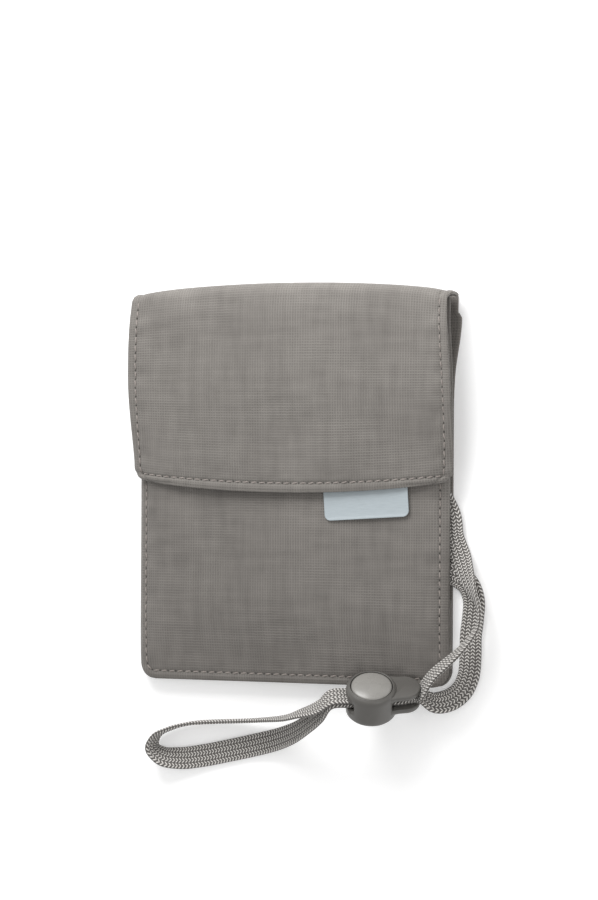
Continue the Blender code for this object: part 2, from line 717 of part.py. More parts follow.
def build_lock(shell, button_mat, spring_mat):
    """Barrel with two guide ears, base, spring and push button."""
    matrix = lock_frame()
    frame = axis_empty("lock_origin", LOCK_AT, matrix)
    rim = [(LOCK_R - 0.6 * MM, LOCK_TOP + 0.5 * MM)]
    barrel = cylinder("lock_barrel", LOCK_R, LOCK_LOW, LOCK_TOP, 40, shell, rim)
    for z0, z1 in ((SLOT_TOP, SLOT_TOP + EAR_T), (SLOT_LOW - EAR_T, SLOT_LOW)):
        cut(barrel, ear(z0, z1, shell), "UNION")
    bore = LOCK_R - WALL
    hole = cylinder("cutter", bore, LOCK_LOW - 1 * MM, LOCK_TOP + 2 * MM, 40, shell)
    cut(barrel, hole)
    slot = SLOT_W / 2
    cut(barrel, local_box(-2 * LOCK_R, 2 * LOCK_R, -slot, slot, SLOT_LOW, SLOT_TOP, shell))
    place(barrel, matrix, frame)
    base = cylinder("lock_base", bore - GAP, LOCK_LOW, LOCK_LOW + BASE_T, 40, shell)
    place(base, matrix, frame)

    z = LOCK_LOW + BASE_T + GAP
    spring = spiral("lock_spring", z, spring_mat)
    place(spring, matrix, frame)

    push = axis_empty("button_origin", LOCK_AT, matrix)
    push.parent = frame
    push.matrix_parent_inverse = frame.matrix_world.inverted()
    bpy.context.view_layer.update()
    r = bore - BUTTON_FIT
    lip = LOCK_TOP + BUTTON_LIP
    dome = []
    for k in range(1, 5):
        a = math.radians(18 * k)
        dome.append((r * math.cos(a), lip + BUTTON_RISE * math.sin(a) / math.sin(math.radians(72))))
    low = SLOT_LOW - FLOOR_T
    button = cylinder("lock_button", r, low, lip, 40, button_mat, dome)
    window = local_box(-LOCK_R, LOCK_R, -slot / 1.1, slot / 1.1,
                       SLOT_LOW, SLOT_TOP + BUTTON_TRAVEL, shell)
    cut(button, window)
    place(button, matrix, push)


def spiral(name, z, mat):
    """A flat-wound conical spring, pressed flat."""
    turns = 2.5
    per = 16
    r0 = 2.0 * MM
    r1 = 6.4 * MM
    w = SPRING_WIRE / 2
    count = int(turns * per)
    verts = []
    for i in range(count + 1):
        a = 2 * math.pi * i / per
        r = r0 + (r1 - r0) * i / count
        for dr, dz in ((-w, 0), (w, 0), (w, 2 * w), (-w, 2 * w)):
            verts.append(((r + dr) * math.cos(a), (r + dr) * math.sin(a), z + dz))
    faces = [(0, 1, 2, 3), tuple(4 * count + k for k in range(4))]
    for i in range(count):
        for j in range(4):
            k = (j + 1) % 4
            faces.append((4 * i + j, 4 * i + k, 4 * i + 4 + k, 4 * i + 4 + j))
    return add(name, verts, faces, mat)


def main():
    """Build every piece."""
    clear_scene()
    cloth = material("pouch_cloth", (0.21, 0.19, 0.175), 0.85)
    lining = material("pouch_lining", (0.16, 0.15, 0.14), 0.85)
    web = material("strap_web", (0.40, 0.38, 0.36), 0.9)
    loop_mat = material("loop_pile", (0.12, 0.11, 0.11), 0.95)
    label = material("label_cloth", (0.46, 0.51, 0.54), 0.6)
    tape = material("zip_tape", (0.20, 0.18, 0.17), 0.85)
    plastic = material("zip_plastic", (0.22, 0.21, 0.2), 0.5)
    metal = material("zip_metal", (0.45, 0.44, 0.42), 0.35, 1.0)
    shell = material("lock_shell", (0.15, 0.14, 0.13), 0.4)
    push = material("lock_push", (0.30, 0.29, 0.27), 0.35)
    steel = material("spring_steel", (0.6, 0.6, 0.6), 0.3, 1.0)
    build_pouch(cloth, lining, web, loop_mat)
    build_zip(tape, metal, plastic)
    build_flap(cloth, loop_mat, label)
    build_strap(web)
    build_lock(shell, push, steel)
    bpy.context.view_layer.update()


main()
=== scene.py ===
# %% [markdown]
# # A neck pouch wallet
# A flat cloth pouch with a folded flap, a woven label and a long flat strap that
# runs through a cord lock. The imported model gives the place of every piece, so
# each surface below is worked out in the same metres and simply rides on its
# body. The pouch lies on its back: the face looks up, +Y is the folded top edge.

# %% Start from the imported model
import math

import bmesh
import bpy
import numpy as np
from mathutils import Matrix, Vector


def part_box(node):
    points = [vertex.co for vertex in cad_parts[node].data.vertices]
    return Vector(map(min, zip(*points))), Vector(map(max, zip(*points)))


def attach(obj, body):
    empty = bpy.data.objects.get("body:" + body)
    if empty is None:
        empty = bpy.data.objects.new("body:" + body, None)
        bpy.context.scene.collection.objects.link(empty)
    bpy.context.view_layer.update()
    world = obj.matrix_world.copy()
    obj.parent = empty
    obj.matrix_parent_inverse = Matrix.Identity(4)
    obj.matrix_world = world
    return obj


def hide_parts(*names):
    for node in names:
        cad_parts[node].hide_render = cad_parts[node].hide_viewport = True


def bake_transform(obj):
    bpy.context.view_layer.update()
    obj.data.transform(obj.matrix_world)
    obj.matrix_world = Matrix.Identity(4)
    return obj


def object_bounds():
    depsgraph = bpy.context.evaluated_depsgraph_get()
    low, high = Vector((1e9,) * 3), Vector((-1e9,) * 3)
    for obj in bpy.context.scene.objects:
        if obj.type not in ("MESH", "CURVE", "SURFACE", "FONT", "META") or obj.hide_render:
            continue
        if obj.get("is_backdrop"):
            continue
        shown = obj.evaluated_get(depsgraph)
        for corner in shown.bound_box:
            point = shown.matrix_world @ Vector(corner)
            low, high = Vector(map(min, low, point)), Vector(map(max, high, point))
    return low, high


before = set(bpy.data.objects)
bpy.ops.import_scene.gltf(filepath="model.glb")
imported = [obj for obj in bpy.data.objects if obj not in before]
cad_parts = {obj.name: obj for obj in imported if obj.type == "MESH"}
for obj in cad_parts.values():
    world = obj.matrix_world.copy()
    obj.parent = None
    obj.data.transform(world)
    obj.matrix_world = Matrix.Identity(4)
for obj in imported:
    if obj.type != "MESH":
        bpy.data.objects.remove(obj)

MM = 0.001
cad_box = [[float(v) for v in corner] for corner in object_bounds()]
print("model box, mm:", [[round(v / MM, 1) for v in corner] for corner in cad_box])

# %% [markdown]
# ## Camera
# The pouch is seen squarely along its length and turned 22 degrees about it, so
# its right side shows. A long lens from 1.3 m keeps its edges nearly parallel.
# The three camera axes are worked out from those angles and written straight
# into the camera's matrix, which is simpler to read than three Euler turns.

# %% Place the camera
turn, tip, roll = (math.radians(a) for a in (22.0, 0.033, 0.3))
target = np.array((1.661, 13.389, 5.0)) * MM
back = np.array((math.sin(turn) * math.cos(tip), -math.sin(tip), math.cos(turn) * math.cos(tip)))
level = np.cross((0.0, 1.0, 0.0), back)
level /= np.linalg.norm(level)
upright = np.cross(back, level)
right = level * math.cos(roll) + upright * math.sin(roll)
above = -level * math.sin(roll) + upright * math.cos(roll)

lens = bpy.data.cameras.new("camera")
lens.sensor_width = 36.0
lens.lens = 128.28
camera = bpy.data.objects.new("camera", lens)
bpy.context.collection.objects.link(camera)
spot = target + 1.3 * back
camera.matrix_world = Matrix([[right[i], above[i], back[i], spot[i]] for i in range(3)] + [[0, 0, 0, 1]])
bpy.context.scene.camera = camera
print("camera stands at, mm:", np.round(spot / MM, 1))

# %% [markdown]
# ## Meshes from arrays
# Every new piece is a grid of points computed as one numpy array. A closed cloth
# sheet is two such grids, its face and its lining side, joined round the rim.
# The weave has to follow the cloth round its folds, so each grid also carries a
# UV map measured in metres along the cloth, not squeezed into the unit square.


# %% Put arrays into a mesh
def piece(name, points, faces, mat, body, slot, stands_for=(), uv=None, smooth=True, sides=None):
    """A finished closed object: points (n, 3) and uv (n, 2) in mm, faces as index rows, sides each face's material."""
    mesh = bpy.data.meshes.new(name)
    mesh.from_pydata((np.asarray(points) * MM).tolist(), [], [list(map(int, f)) for f in faces])
    if uv is not None:
        loops = np.zeros(len(mesh.loops), np.int32)
        mesh.loops.foreach_get("vertex_index", loops)
        layer = mesh.uv_layers.new(name="cloth")
        layer.data.foreach_set("uv", (np.asarray(uv)[loops] * MM).astype(np.float32).ravel())
    if sides is not None:
        mesh.polygons.foreach_set("material_index", np.asarray(sides, np.int32))
    shell = bmesh.new()
    shell.from_mesh(mesh)
    bmesh.ops.recalc_face_normals(shell, faces=shell.faces)
    shell.to_mesh(mesh)
    shell.free()
    mesh.polygons.foreach_set("use_smooth", [smooth] * len(mesh.polygons))
    for each in mat if isinstance(mat, (list, tuple)) else [mat]:
        mesh.materials.append(each)
    obj = bpy.data.objects.new(name, mesh)
    bpy.context.collection.objects.link(obj)
    if body:
        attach(obj, body)
    if stands_for:
        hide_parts(*stands_for)
    return obj


def grid_faces(rows, cols, start=0, wrap=False):
    """Quads of a rows x cols grid of points, counted from start; wrap joins the last column to the first."""
    i, j = np.meshgrid(np.arange(rows - 1), np.arange(cols if wrap else cols - 1), indexing="ij")
    k = (j + 1) % cols
    corners = [i * cols + j, i * cols + k, (i + 1) * cols + k, (i + 1) * cols + j]
    return (start + np.stack(corners, -1)).reshape(-1, 4)


def surface_normals(grid):
    """Unit normals of a (rows, cols, 3) grid: the cross product of its two tangents."""
    along = np.gradient(grid, axis=0)
    across = np.gradient(grid, axis=1)
    n = np.cross(across, along)
    return n / np.maximum(np.linalg.norm(n, axis=-1, keepdims=True), 1e-9)


def rim_faces(rows, cols, lower):
    """Quads that join the rim of a grid to the rim of its copy, whose points start at lower."""
    ids = np.arange(rows * cols).reshape(rows, cols)
    ring = np.concatenate([ids[0, :-1], ids[:-1, -1], ids[-1, :0:-1], ids[:0:-1, 0]])
    ahead = np.roll(ring, -1)
    return np.stack([ahead, ring, ring + lower, ahead + lower], -1)


def sheet_arrays(face, thick, uv):
    """A closed sheet: its face grid, and the same grid moved inwards by thick along the normals."""
    rows, cols, _ = face.shape
    inner = face - surface_normals(face) * np.asarray(thick)[..., None]
    points = np.concatenate([face.reshape(-1, 3), inner.reshape(-1, 3)])
    lower = rows * cols
    flipped = grid_faces(rows, cols, lower)[:, ::-1]
    faces = np.concatenate([grid_faces(rows, cols), flipped, rim_faces(rows, cols, lower)])
    return points, faces, np.concatenate([uv.reshape(-1, 2)] * 2)


def spread(low, high, fine, coarse, reach):
    """Positions from low to high: fine steps within reach of both ends, coarse steps between them."""
    a = np.arange(low, low + reach, fine)
    b = np.linspace(low + reach, high - reach, max(2, int((high - low - 2 * reach) / coarse)))
    return np.concatenate([a, b, (low + high) - a[::-1]])


# %% [markdown]
# ## Materials
# The cloth is a plain weave with a raised grid of thicker threads about a
# millimetre apart. The grid shows more in some patches than in others, because
# the threads are uneven, so a slow noise fades the lines in and out. That effect
# is a node group, because the cloth, the lining and the zip tape all use it at
# their own pitch. The group only gives a tone and a height; the shader itself
# stays in each material.


# %% Small helpers for node trees
def calc(tree, operation, first, second=None, third=None):
    """One Math node. Each of its inputs is a number or another node's output."""
    node = tree.nodes.new("ShaderNodeMath")
    node.operation = operation
    for socket, value in zip(node.inputs, (first, second, third)):
        if value is None:
            continue
        if isinstance(value, (int, float)):
            socket.default_value = value
        else:
            tree.links.new(value, socket)
    return node.outputs[0]


def noise(tree, where, scale, detail=2.0, stretch=None):
    """One Noise Texture read at where, stretched first when stretch is given."""
    if stretch is not None:
        mapping = tree.nodes.new("ShaderNodeMapping")
        mapping.inputs["Scale"].default_value = stretch
        tree.links.new(where, mapping.inputs["Vector"])
        where = mapping.outputs[0]
    node = tree.nodes.new("ShaderNodeTexNoise")
    node.inputs["Scale"].default_value = scale
    node.inputs["Detail"].default_value = detail
    tree.links.new(where, node.inputs["Vector"])
    return node.outputs["Fac"]


def ramp(tree, mask, dark, light):
    """A colour between dark and light, by mask. The Mix node's sockets 6 and 7 are its two colours."""
    node = tree.nodes.new("ShaderNodeMix")
    node.data_type = "RGBA"
    node.clamp_factor = True
    node.inputs[6].default_value = (*dark, 1)
    node.inputs[7].default_value = (*light, 1)
    tree.links.new(mask, node.inputs[0])
    return node.outputs[2]


def bumped(tree, shader, height, distance, strength=1.0):
    """Feed a height through a Bump node into the shader's normal."""
    node = tree.nodes.new("ShaderNodeBump")
    node.inputs["Distance"].default_value = distance
    node.inputs["Strength"].default_value = strength
    tree.links.new(height, node.inputs["Height"])
    tree.links.new(node.outputs[0], shader.inputs["Normal"])


def new_material(name, rough, sheen=0.0, metal=0.0):
    """An empty Principled material with the values that are the same all over."""
    mat = bpy.data.materials.new(name)
    mat.use_nodes = True
    shader = mat.node_tree.nodes["Principled BSDF"]
    shader.inputs["Roughness"].default_value = rough
    shader.inputs["Metallic"].default_value = metal
    shader.inputs["Sheen Weight"].default_value = sheen
    return mat, mat.node_tree, shader


# %% The weave group
def make_weave_group():
    """Raised threads every Pitch along both directions of Vector, strong in patches, over a fine plain weave."""
    group = bpy.data.node_groups.new("raised_grid_weave", "ShaderNodeTree")
    face = group.interface
    face.new_socket("Vector", in_out="INPUT", socket_type="NodeSocketVector")
    for name, value in (("Pitch", 0.0011), ("Patch", 0.5), ("Fine", 0.3)):
        face.new_socket(name, in_out="INPUT", socket_type="NodeSocketFloat").default_value = value
    for name in ("Tone", "Height"):
        face.new_socket(name, in_out="OUTPUT", socket_type="NodeSocketFloat")
    enter = group.nodes.new("NodeGroupInput")
    leave = group.nodes.new("NodeGroupOutput")
    where, pitch, patch, fine = enter.outputs[:4]
    parts = group.nodes.new("ShaderNodeSeparateXYZ")
    group.links.new(where, parts.inputs[0])
    lines = []
    for axis, stretch in ((0, (1.0, 0.35, 1.0)), (1, (0.35, 1.0, 1.0))):
        turns = calc(group, "DIVIDE", parts.outputs[axis], pitch)
        wobble = noise(group, where, 900.0, 1.0, (stretch[1], stretch[0], 1.0))
        turns = calc(group, "ADD", turns, calc(group, "MULTIPLY", wobble, 0.35))
        wave = calc(group, "SINE", calc(group, "MULTIPLY", turns, 2 * math.pi))
        line = calc(group, "POWER", calc(group, "MULTIPLY_ADD", wave, 0.5, 0.5), 2.5)
        fade = noise(group, where, 55.0, 3.0, stretch)
        fade = calc(group, "SMOOTH_MIN", calc(group, "MULTIPLY_ADD", fade, 3.2, -1.05), 1.0, 0.1)
        fade = calc(group, "MAXIMUM", fade, 0.05)
        shown = calc(group, "MULTIPLY_ADD", fade, patch, calc(group, "SUBTRACT", 1.0, patch))
        lines.append(calc(group, "MULTIPLY", line, shown))
    raised = calc(group, "MAXIMUM", *lines)
    threads = []
    for axis in (0, 1):
        turns = calc(group, "DIVIDE", parts.outputs[axis], calc(group, "MULTIPLY", pitch, 0.25))
        threads.append(calc(group, "SINE", calc(group, "MULTIPLY", turns, 2 * math.pi)))
    plain = calc(group, "MULTIPLY_ADD", calc(group, "MULTIPLY", *threads), 0.5, 0.5)
    height = calc(group, "MULTIPLY_ADD", plain, fine, raised)
    slub = noise(group, where, 260.0, 3.0, (1.0, 0.2, 1.0))
    slub_2 = noise(group, where, 260.0, 3.0, (0.2, 1.0, 1.0))
    uneven = calc(group, "MULTIPLY_ADD", calc(group, "ADD", slub, slub_2), 0.45, -0.2)
    tone = calc(group, "MULTIPLY_ADD", height, 0.5, uneven)
    group.links.new(tone, leave.inputs["Tone"])
    group.links.new(height, leave.inputs["Height"])
    return group


weave = make_weave_group()
print("weave group has", len(weave.nodes), "nodes")


# %% Cloth materials
def cloth_material(name, dark, light, pitch, patch, rough=0.8, sheen=0.12, height=0.00008):
    """Woven cloth: the weave group on the piece's own UV map, with slow cloudiness in its colour."""
    mat, tree, shader = new_material(name, rough, sheen)
    shader.inputs["Sheen Roughness"].default_value = 0.5
    where = tree.nodes.new("ShaderNodeUVMap")
    where.uv_map = "cloth"
    group = tree.nodes.new("ShaderNodeGroup")
    group.node_tree = weave
    group.inputs["Pitch"].default_value = pitch
    group.inputs["Patch"].default_value = patch
    tree.links.new(where.outputs[0], group.inputs["Vector"])
    cloud = noise(tree, where.outputs[0], 22.0, 3.0)
    tone = calc(tree, "MULTIPLY_ADD", cloud, 0.5, calc(tree, "MULTIPLY_ADD", group.outputs["Tone"], 1.25, -0.44))
    tree.links.new(ramp(tree, tone, dark, light), shader.inputs["Base Color"])
    gloss = calc(tree, "MULTIPLY_ADD", group.outputs["Tone"], -0.12, rough + 0.05)
    tree.links.new(gloss, shader.inputs["Roughness"])
    bumped(tree, shader, group.outputs["Height"], height)
    return mat


cloth = cloth_material("pouch cloth", (0.120, 0.110, 0.100), (0.228, 0.212, 0.194), 0.0011, 0.75)
# The front's cloth is the pouch cloth made about a tenth darker: painted shade for the front lying below the flap.
front_shaded_cloth = cloth_material("front cloth painted shade", (0.108, 0.099, 0.090), (0.212, 0.196, 0.179), 0.0011, 0.75)
lining = cloth_material("lining cloth", (0.090, 0.083, 0.076), (0.150, 0.139, 0.128), 0.0006, 0.2)
tape_cloth = cloth_material("zip tape", (0.095, 0.088, 0.081), (0.162, 0.150, 0.138), 0.0007, 0.0)

# %% [markdown]
# The strap is a flat knitted braid: light and dark yarns that lie as rows of
# small V shapes in four ribs. Its UV map runs along the strap in metres in u and
# across it in v, so one sine along u, bent into a V by v, draws every stitch. The dark in the grooves between the ribs
# and down their middles is painted shade.


# %% Braid, thread and label materials
def braid_material():
    """Rows of V-shaped stitches: sin(u / pitch + leg), with painted shade darkening the gaps between the ribs."""
    mat, tree, shader = new_material("braided strap", 0.75, 0.2)
    where = tree.nodes.new("ShaderNodeUVMap")
    where.uv_map = "cloth"
    parts = tree.nodes.new("ShaderNodeSeparateXYZ")
    tree.links.new(where.outputs[0], parts.inputs[0])
    rib = calc(tree, "FRACT", calc(tree, "MULTIPLY_ADD", parts.outputs[1], 1 / 0.0023, 100.0))
    leg = calc(tree, "MULTIPLY", calc(tree, "ABSOLUTE", calc(tree, "SUBTRACT", rib, 0.5)), 2.0)
    along = calc(tree, "MULTIPLY_ADD", parts.outputs[0], 1 / 0.00135, calc(tree, "MULTIPLY", leg, 0.75))
    wave = calc(tree, "SINE", calc(tree, "MULTIPLY", along, 2 * math.pi))
    stitch = calc(tree, "MULTIPLY_ADD", wave, 0.5, 0.5)
    # crease (between the ribs) and spine (down each rib's middle) lower the height, and with it the colour: painted
    # shade in these grooves, over the light and dark yarn of the stitches
    crease = calc(tree, "POWER", leg, 6.0)
    spine = calc(tree, "POWER", calc(tree, "SUBTRACT", 1.0, leg), 8.0)
    clear_of_groove_shade = calc(tree, "SUBTRACT", 1.0, calc(tree, "MAXIMUM", crease, calc(tree, "MULTIPLY", spine, 0.5)))
    height = calc(tree, "MULTIPLY", stitch, clear_of_groove_shade)
    fuzz = noise(tree, where.outputs[0], 2500.0, 2.0)
    mask = calc(tree, "MULTIPLY_ADD", height, 1.9, -0.66)
    mask = calc(tree, "MULTIPLY_ADD", calc(tree, "SUBTRACT", fuzz, 0.5), 0.4, mask)
    tree.links.new(ramp(tree, mask, (0.108, 0.100, 0.092), (0.84, 0.81, 0.77)), shader.inputs["Base Color"])
    bumped(tree, shader, height, 0.0004)
    return mat


def thread_material():
    """Sewing thread: two fine plies that show as slanted bands."""
    mat, tree, shader = new_material("sewing thread", 0.6, 0.3)
    where = tree.nodes.new("ShaderNodeTexCoord")
    ply = noise(tree, where.outputs["Object"], 1800.0, 2.0)
    tree.links.new(ramp(tree, ply, (0.15, 0.128, 0.115), (0.36, 0.315, 0.288)), shader.inputs["Base Color"])
    bumped(tree, shader, ply, 0.0001)
    return mat


def label_material():
    """A satin-woven label: pale, fine ribs across, and one lighter line under its top edge."""
    mat, tree, shader = new_material("label satin", 0.42, 0.15)
    where = tree.nodes.new("ShaderNodeUVMap")
    where.uv_map = "cloth"
    parts = tree.nodes.new("ShaderNodeSeparateXYZ")
    tree.links.new(where.outputs[0], parts.inputs[0])
    rib = calc(tree, "SINE", calc(tree, "MULTIPLY", parts.outputs[1], 2 * math.pi / 0.00035))
    grain = noise(tree, where.outputs[0], 1500.0, 2.0, (0.15, 1.0, 1.0))
    line = calc(tree, "COMPARE", parts.outputs[1], 0.0119, 0.0003)
    tone = calc(tree, "MULTIPLY_ADD", grain, 0.6, calc(tree, "MULTIPLY_ADD", line, 0.5, 0.1))
    tree.links.new(ramp(tree, tone, (0.325, 0.370, 0.392), (0.460, 0.512, 0.54)), shader.inputs["Base Color"])
    bumped(tree, shader, calc(tree, "MULTIPLY_ADD", rib, 0.3, grain), 0.00004)
    return mat


def pile_material():
    """Hook-and-loop tape: a dark pile of tiny curls."""
    mat, tree, shader = new_material("fastener pile", 0.95, 0.4)
    where = tree.nodes.new("ShaderNodeTexCoord")
    curl = tree.nodes.new("ShaderNodeTexVoronoi")
    curl.inputs["Scale"].default_value = 1400.0
    tree.links.new(where.outputs["Object"], curl.inputs["Vector"])
    height = calc(tree, "SUBTRACT", 1.0, curl.outputs["Distance"])
    tree.links.new(ramp(tree, height, (0.035, 0.033, 0.031), (0.13, 0.122, 0.114)), shader.inputs["Base Color"])
    bumped(tree, shader, height, 0.0003)
    return mat


braid = braid_material()
thread = thread_material()
satin = label_material()
pile = pile_material()

# %% [markdown]
# The cord lock is moulded plastic with a satin skin. Moulded plastic looks flat
# when it is one colour, so a slow noise shifts its gloss, a fine one gives the
# spark-eroded grain of the mould.


# %% Plastic and metal
def moulded(name, base, rough, grain_depth=0.00002, metal=0.0, wear=0.25):
    """Satin plastic or metal: fine grain in the bump, slow changes of tone and gloss."""
    mat, tree, shader = new_material(name, rough, 0.0, metal)
    where = tree.nodes.new("ShaderNodeTexCoord").outputs["Object"]
    grain = noise(tree, where, 4200.0, 2.0)
    slow = noise(tree, where, 160.0, 3.0)
    tint = calc(tree, "MULTIPLY_ADD", slow, 0.6, calc(tree, "MULTIPLY", grain, wear))
    dark = tuple(0.86 * c for c in base)
    light = tuple(1.16 * c for c in base)
    tree.links.new(ramp(tree, tint, dark, light), shader.inputs["Base Color"])
    gloss = calc(tree, "MULTIPLY_ADD", slow, 0.16, rough - 0.08)
    tree.links.new(gloss, shader.inputs["Roughness"])
    bumped(tree, shader, grain, grain_depth, 0.6)
    return mat


shell_plastic = moulded("lock plastic", (0.104, 0.099, 0.091), 0.33)
push_plastic = moulded("button plastic", (0.255, 0.246, 0.230), 0.27)
zip_plastic = moulded("zip teeth plastic", (0.15, 0.14, 0.13), 0.45)
zip_metal = moulded("zip metal", (0.42, 0.40, 0.38), 0.34, metal=1.0)
spring_metal = moulded("spring steel", (0.6, 0.6, 0.6), 0.3, metal=1.0)
print(len(bpy.data.materials), "materials so far")

# %% [markdown]
# ## Strap
# One strap, both ends sewn behind the top corners. It comes out at the right
# side, goes through the lock, makes a loop on the table, comes back through the
# lock and returns behind the pouch, where the rest of its length lies folded in
# runs side by side. Its route is a list of points with the direction of the
# strap's width at each, because a flat strap twists as it turns.

# %% The strap's route
STRAP_WIDE, STRAP_THICK, STOW_Z = 9.2, 1.6, 2.05
lock_at = np.array((38.0, -85.0, 16.8))
lock_axis = np.array((0.2306, 0.7880, 0.5700)) / np.linalg.norm((0.2306, 0.7880, 0.5700))
lock_run = np.array((-0.8975, -0.0535, 0.4370))
lock_run = lock_run - lock_axis * (lock_run @ lock_axis)
lock_run /= np.linalg.norm(lock_run)
lock_side = np.cross(lock_axis, lock_run)
through = [(*(lock_at + lock_run * r + lock_axis * 1.6), *lock_side) for r in (-19.5, -10, 0, 10, 15.5)]
back_through = [(*(lock_at + lock_run * r - lock_axis * 0.4), *lock_side) for r in (15.5, 10, 0, -10, -19.5)]
from_anchor = [
    (54, 65.7, STOW_Z, 1, 0, 0), (54, 48, STOW_Z, 1, 0, 0), (54, 30, STOW_Z, 1, 0, 0), (54, 14, STOW_Z, 1, 0, 0),
    (56.2, 3.5, STOW_Z, 1, 0.3, 0), (61.8, -5, STOW_Z, 0.83, 0.55, 0), (65.8, -13, STOW_Z, 0.97, 0.25, 0),
    (66.9, -21, STOW_Z, 0.92, 0.38, 0), (70.2, -29.2, 2.1, 0.80, 0.60, 0.02), (73.9, -36.8, 4.8, 0.82, 0.27, 0.50),
    (77.4, -43, 7.5, 0.58, 0.06, 0.81), (80.2, -49.2, 8.5, 0.38, 0, 0.93), (79.8, -55.8, 8.8, 0.35, -0.10, 0.93),
    (76.6, -61.6, 10.4, 0.30, -0.25, 0.93), (72.6, -66.4, 12.2, 0.28, -0.34, 0.90), (68.2, -70.6, 13.4, 0.28, -0.42, 0.86),
    (63.8, -74.4, 13.9, 0.30, -0.50, 0.81), (60.2, -78.4, 13, 0.35, -0.58, 0.74), (57.8, -81.4, 11.2, 0.37, -0.60, 0.71),
]
loop = [
    (17.6, -88.8, 22.6, 0.30, -0.45, 0.80), (8, -92.0, 18.4, 0.16, -0.25, 0.93), (-2, -94.8, 12.4, 0.08, -0.10, 0.98),
    (-12, -96.2, 8.2, 0.03, -0.03, 1), (-22, -97.2, 5.9, 0, 0, 1), (-34, -98, 5.1, 0, 0, 1), (-46, -99.2, 5, 0, 0, 1),
    (-55, -101.6, 5, 0, 0, 1), (-61.6, -105.2, 5, -0.05, 0, 1), (-63.2, -109.6, 4.7, -0.25, -0.15, 0.95),
    (-59.4, -113, 3.7, -0.30, -0.65, 0.70), (-52, -113.9, 2.3, -0.05, -0.95, 0.30), (-42, -112.6, 1.4, 0.12, -0.99, 0.06),
    (-30, -110, 1.2, 0.2, -0.98, 0), (-19, -107.4, 1.4, 0.22, -0.97, 0.04), (-8.5, -104.6, 3.4, 0.25, -0.93, 0.2),
    (1, -101.2, 8, 0.30, -0.86, 0.38), (9.5, -96.8, 13.8, 0.34, -0.76, 0.52), (17.6, -91.7, 19.6, 0.37, -0.68, 0.62),
]
to_stow = [
    (60.6, -87, 5.4, 0.25, -0.87, 0.40), (66, -86, 2.8, 0.36, -0.92, 0.15), (70.6, -82.4, 1.7, 0.72, -0.69, 0.04),
    (73.4, -76.6, 1.4, 0.93, -0.36, 0), (74.2, -69, 1.25, 1, -0.1, 0), (74.3, -60.3, 1.2, 1, 0, 0), (75.2, -53, 1.2, 1, -0.02, 0),
    (75.4, -45.5, 1.2, 0.97, 0.20, 0), (73, -39.6, 1.4, 0.75, 0.66, 0), (67.6, -36.2, 2.0, 0.38, 0.92, 0),
    (61, -35.2, STOW_Z, 0.1, 1, 0), (50, -35, STOW_Z, 0, 1, 0), (36, -35, STOW_Z, 0, 1, 0), (24, -35, STOW_Z, 0, 1, 0),
]
route = np.array(from_anchor + through + loop + back_through + to_stow, float)
print(len(route), "points from the anchor to the stowed part")

# %% [markdown]
# A smooth curve is read through the points. Its slope at each point is the mean
# of the slopes on both sides, weighted by the distances, so close points don't
# make it overshoot. All spans are computed at once, from four shifted copies of
# the list. The stowed runs are straight lines joined by half circles.


# %% Smooth the route and add the stowed runs
def read_smooth(points, steps):
    """Cubic Hermite curve through points (n, k): slope = (d0 m1 + d1 m0) / (d0 + d1), in distance."""
    step = np.diff(points, axis=0)
    far = np.maximum(np.linalg.norm(step[:, :3], axis=1, keepdims=True), 1e-9)
    lean = step / far
    inner = (lean[1:] * far[:-1] + lean[:-1] * far[1:]) / (far[1:] + far[:-1])
    slope = np.concatenate([lean[:1], inner, lean[-1:]])
    t = (np.arange(steps) / steps)[:, None, None]
    a, b, c, d = 2 * t**3 - 3 * t**2 + 1, t**3 - 2 * t**2 + t, -2 * t**3 + 3 * t**2, t**3 - t**2
    curve = a * points[:-1] + b * far * slope[:-1] + c * points[1:] + d * far * slope[1:]
    return np.concatenate([curve.transpose(1, 0, 2).reshape(-1, points.shape[1]), points[-1:]])


def half_turn(x, y, radius, start, sweep, count=14):
    """Points and width directions of a flat turn in the plane of the runs."""
    a = np.radians(start + sweep * np.linspace(0, 1, count))
    flat = np.zeros_like(a)
    place = [x + radius * np.cos(a), y + radius * np.sin(a), flat + STOW_Z]
    return np.stack(place + [np.cos(a), np.sin(a), flat], -1)


RUNS, PITCH, RUN_X, RUN_LOW, RUN_TOP = 7, 12.6, -60.0, -48.8, 43.8
bend = PITCH / 2
last_x = RUN_X + (RUNS - 1) * PITCH
stowed = [half_turn(last_x + bend, -35 + bend, bend, 270, -90)]
for k in range(RUNS - 1, -1, -1):
    x = RUN_X + k * PITCH
    up = (RUNS - 1 - k) % 2 == 0
    ends = (RUN_LOW, RUN_TOP) if up else (RUN_TOP, RUN_LOW)
    if k == RUNS - 1:
        ends = (-35 + bend, RUN_TOP)
    if k == 0:
        ends = (ends[0], 65.7)
    ys = np.linspace(*ends, 24)
    side = 1.0 if up else -1.0
    stowed.append(np.stack([np.full(24, x), ys, np.full(24, STOW_Z), np.full(24, -side), ys * 0, ys * 0], -1))
    if k:
        turn_y = RUN_TOP if up else RUN_LOW
        stowed.append(half_turn(x - bend, turn_y, bend, 0, 180 if up else -180))
line = np.concatenate([read_smooth(route, 8)] + stowed)
gaps = np.linalg.norm(np.diff(line[:, :3], axis=0), axis=1)
line = line[np.concatenate([[True], gaps > 0.05])]
measure = np.concatenate([[0], np.cumsum(np.linalg.norm(np.diff(line[:, :3], axis=0), axis=1))])
print("strap length, mm:", round(measure[-1], 1))


# %% [markdown]
# The width direction must never flip between two stations, or the strap would
# turn inside out there, so each one is turned to agree with the one before it:
# the running product of the signs of neighbouring dot products does that for
# the whole list at once.

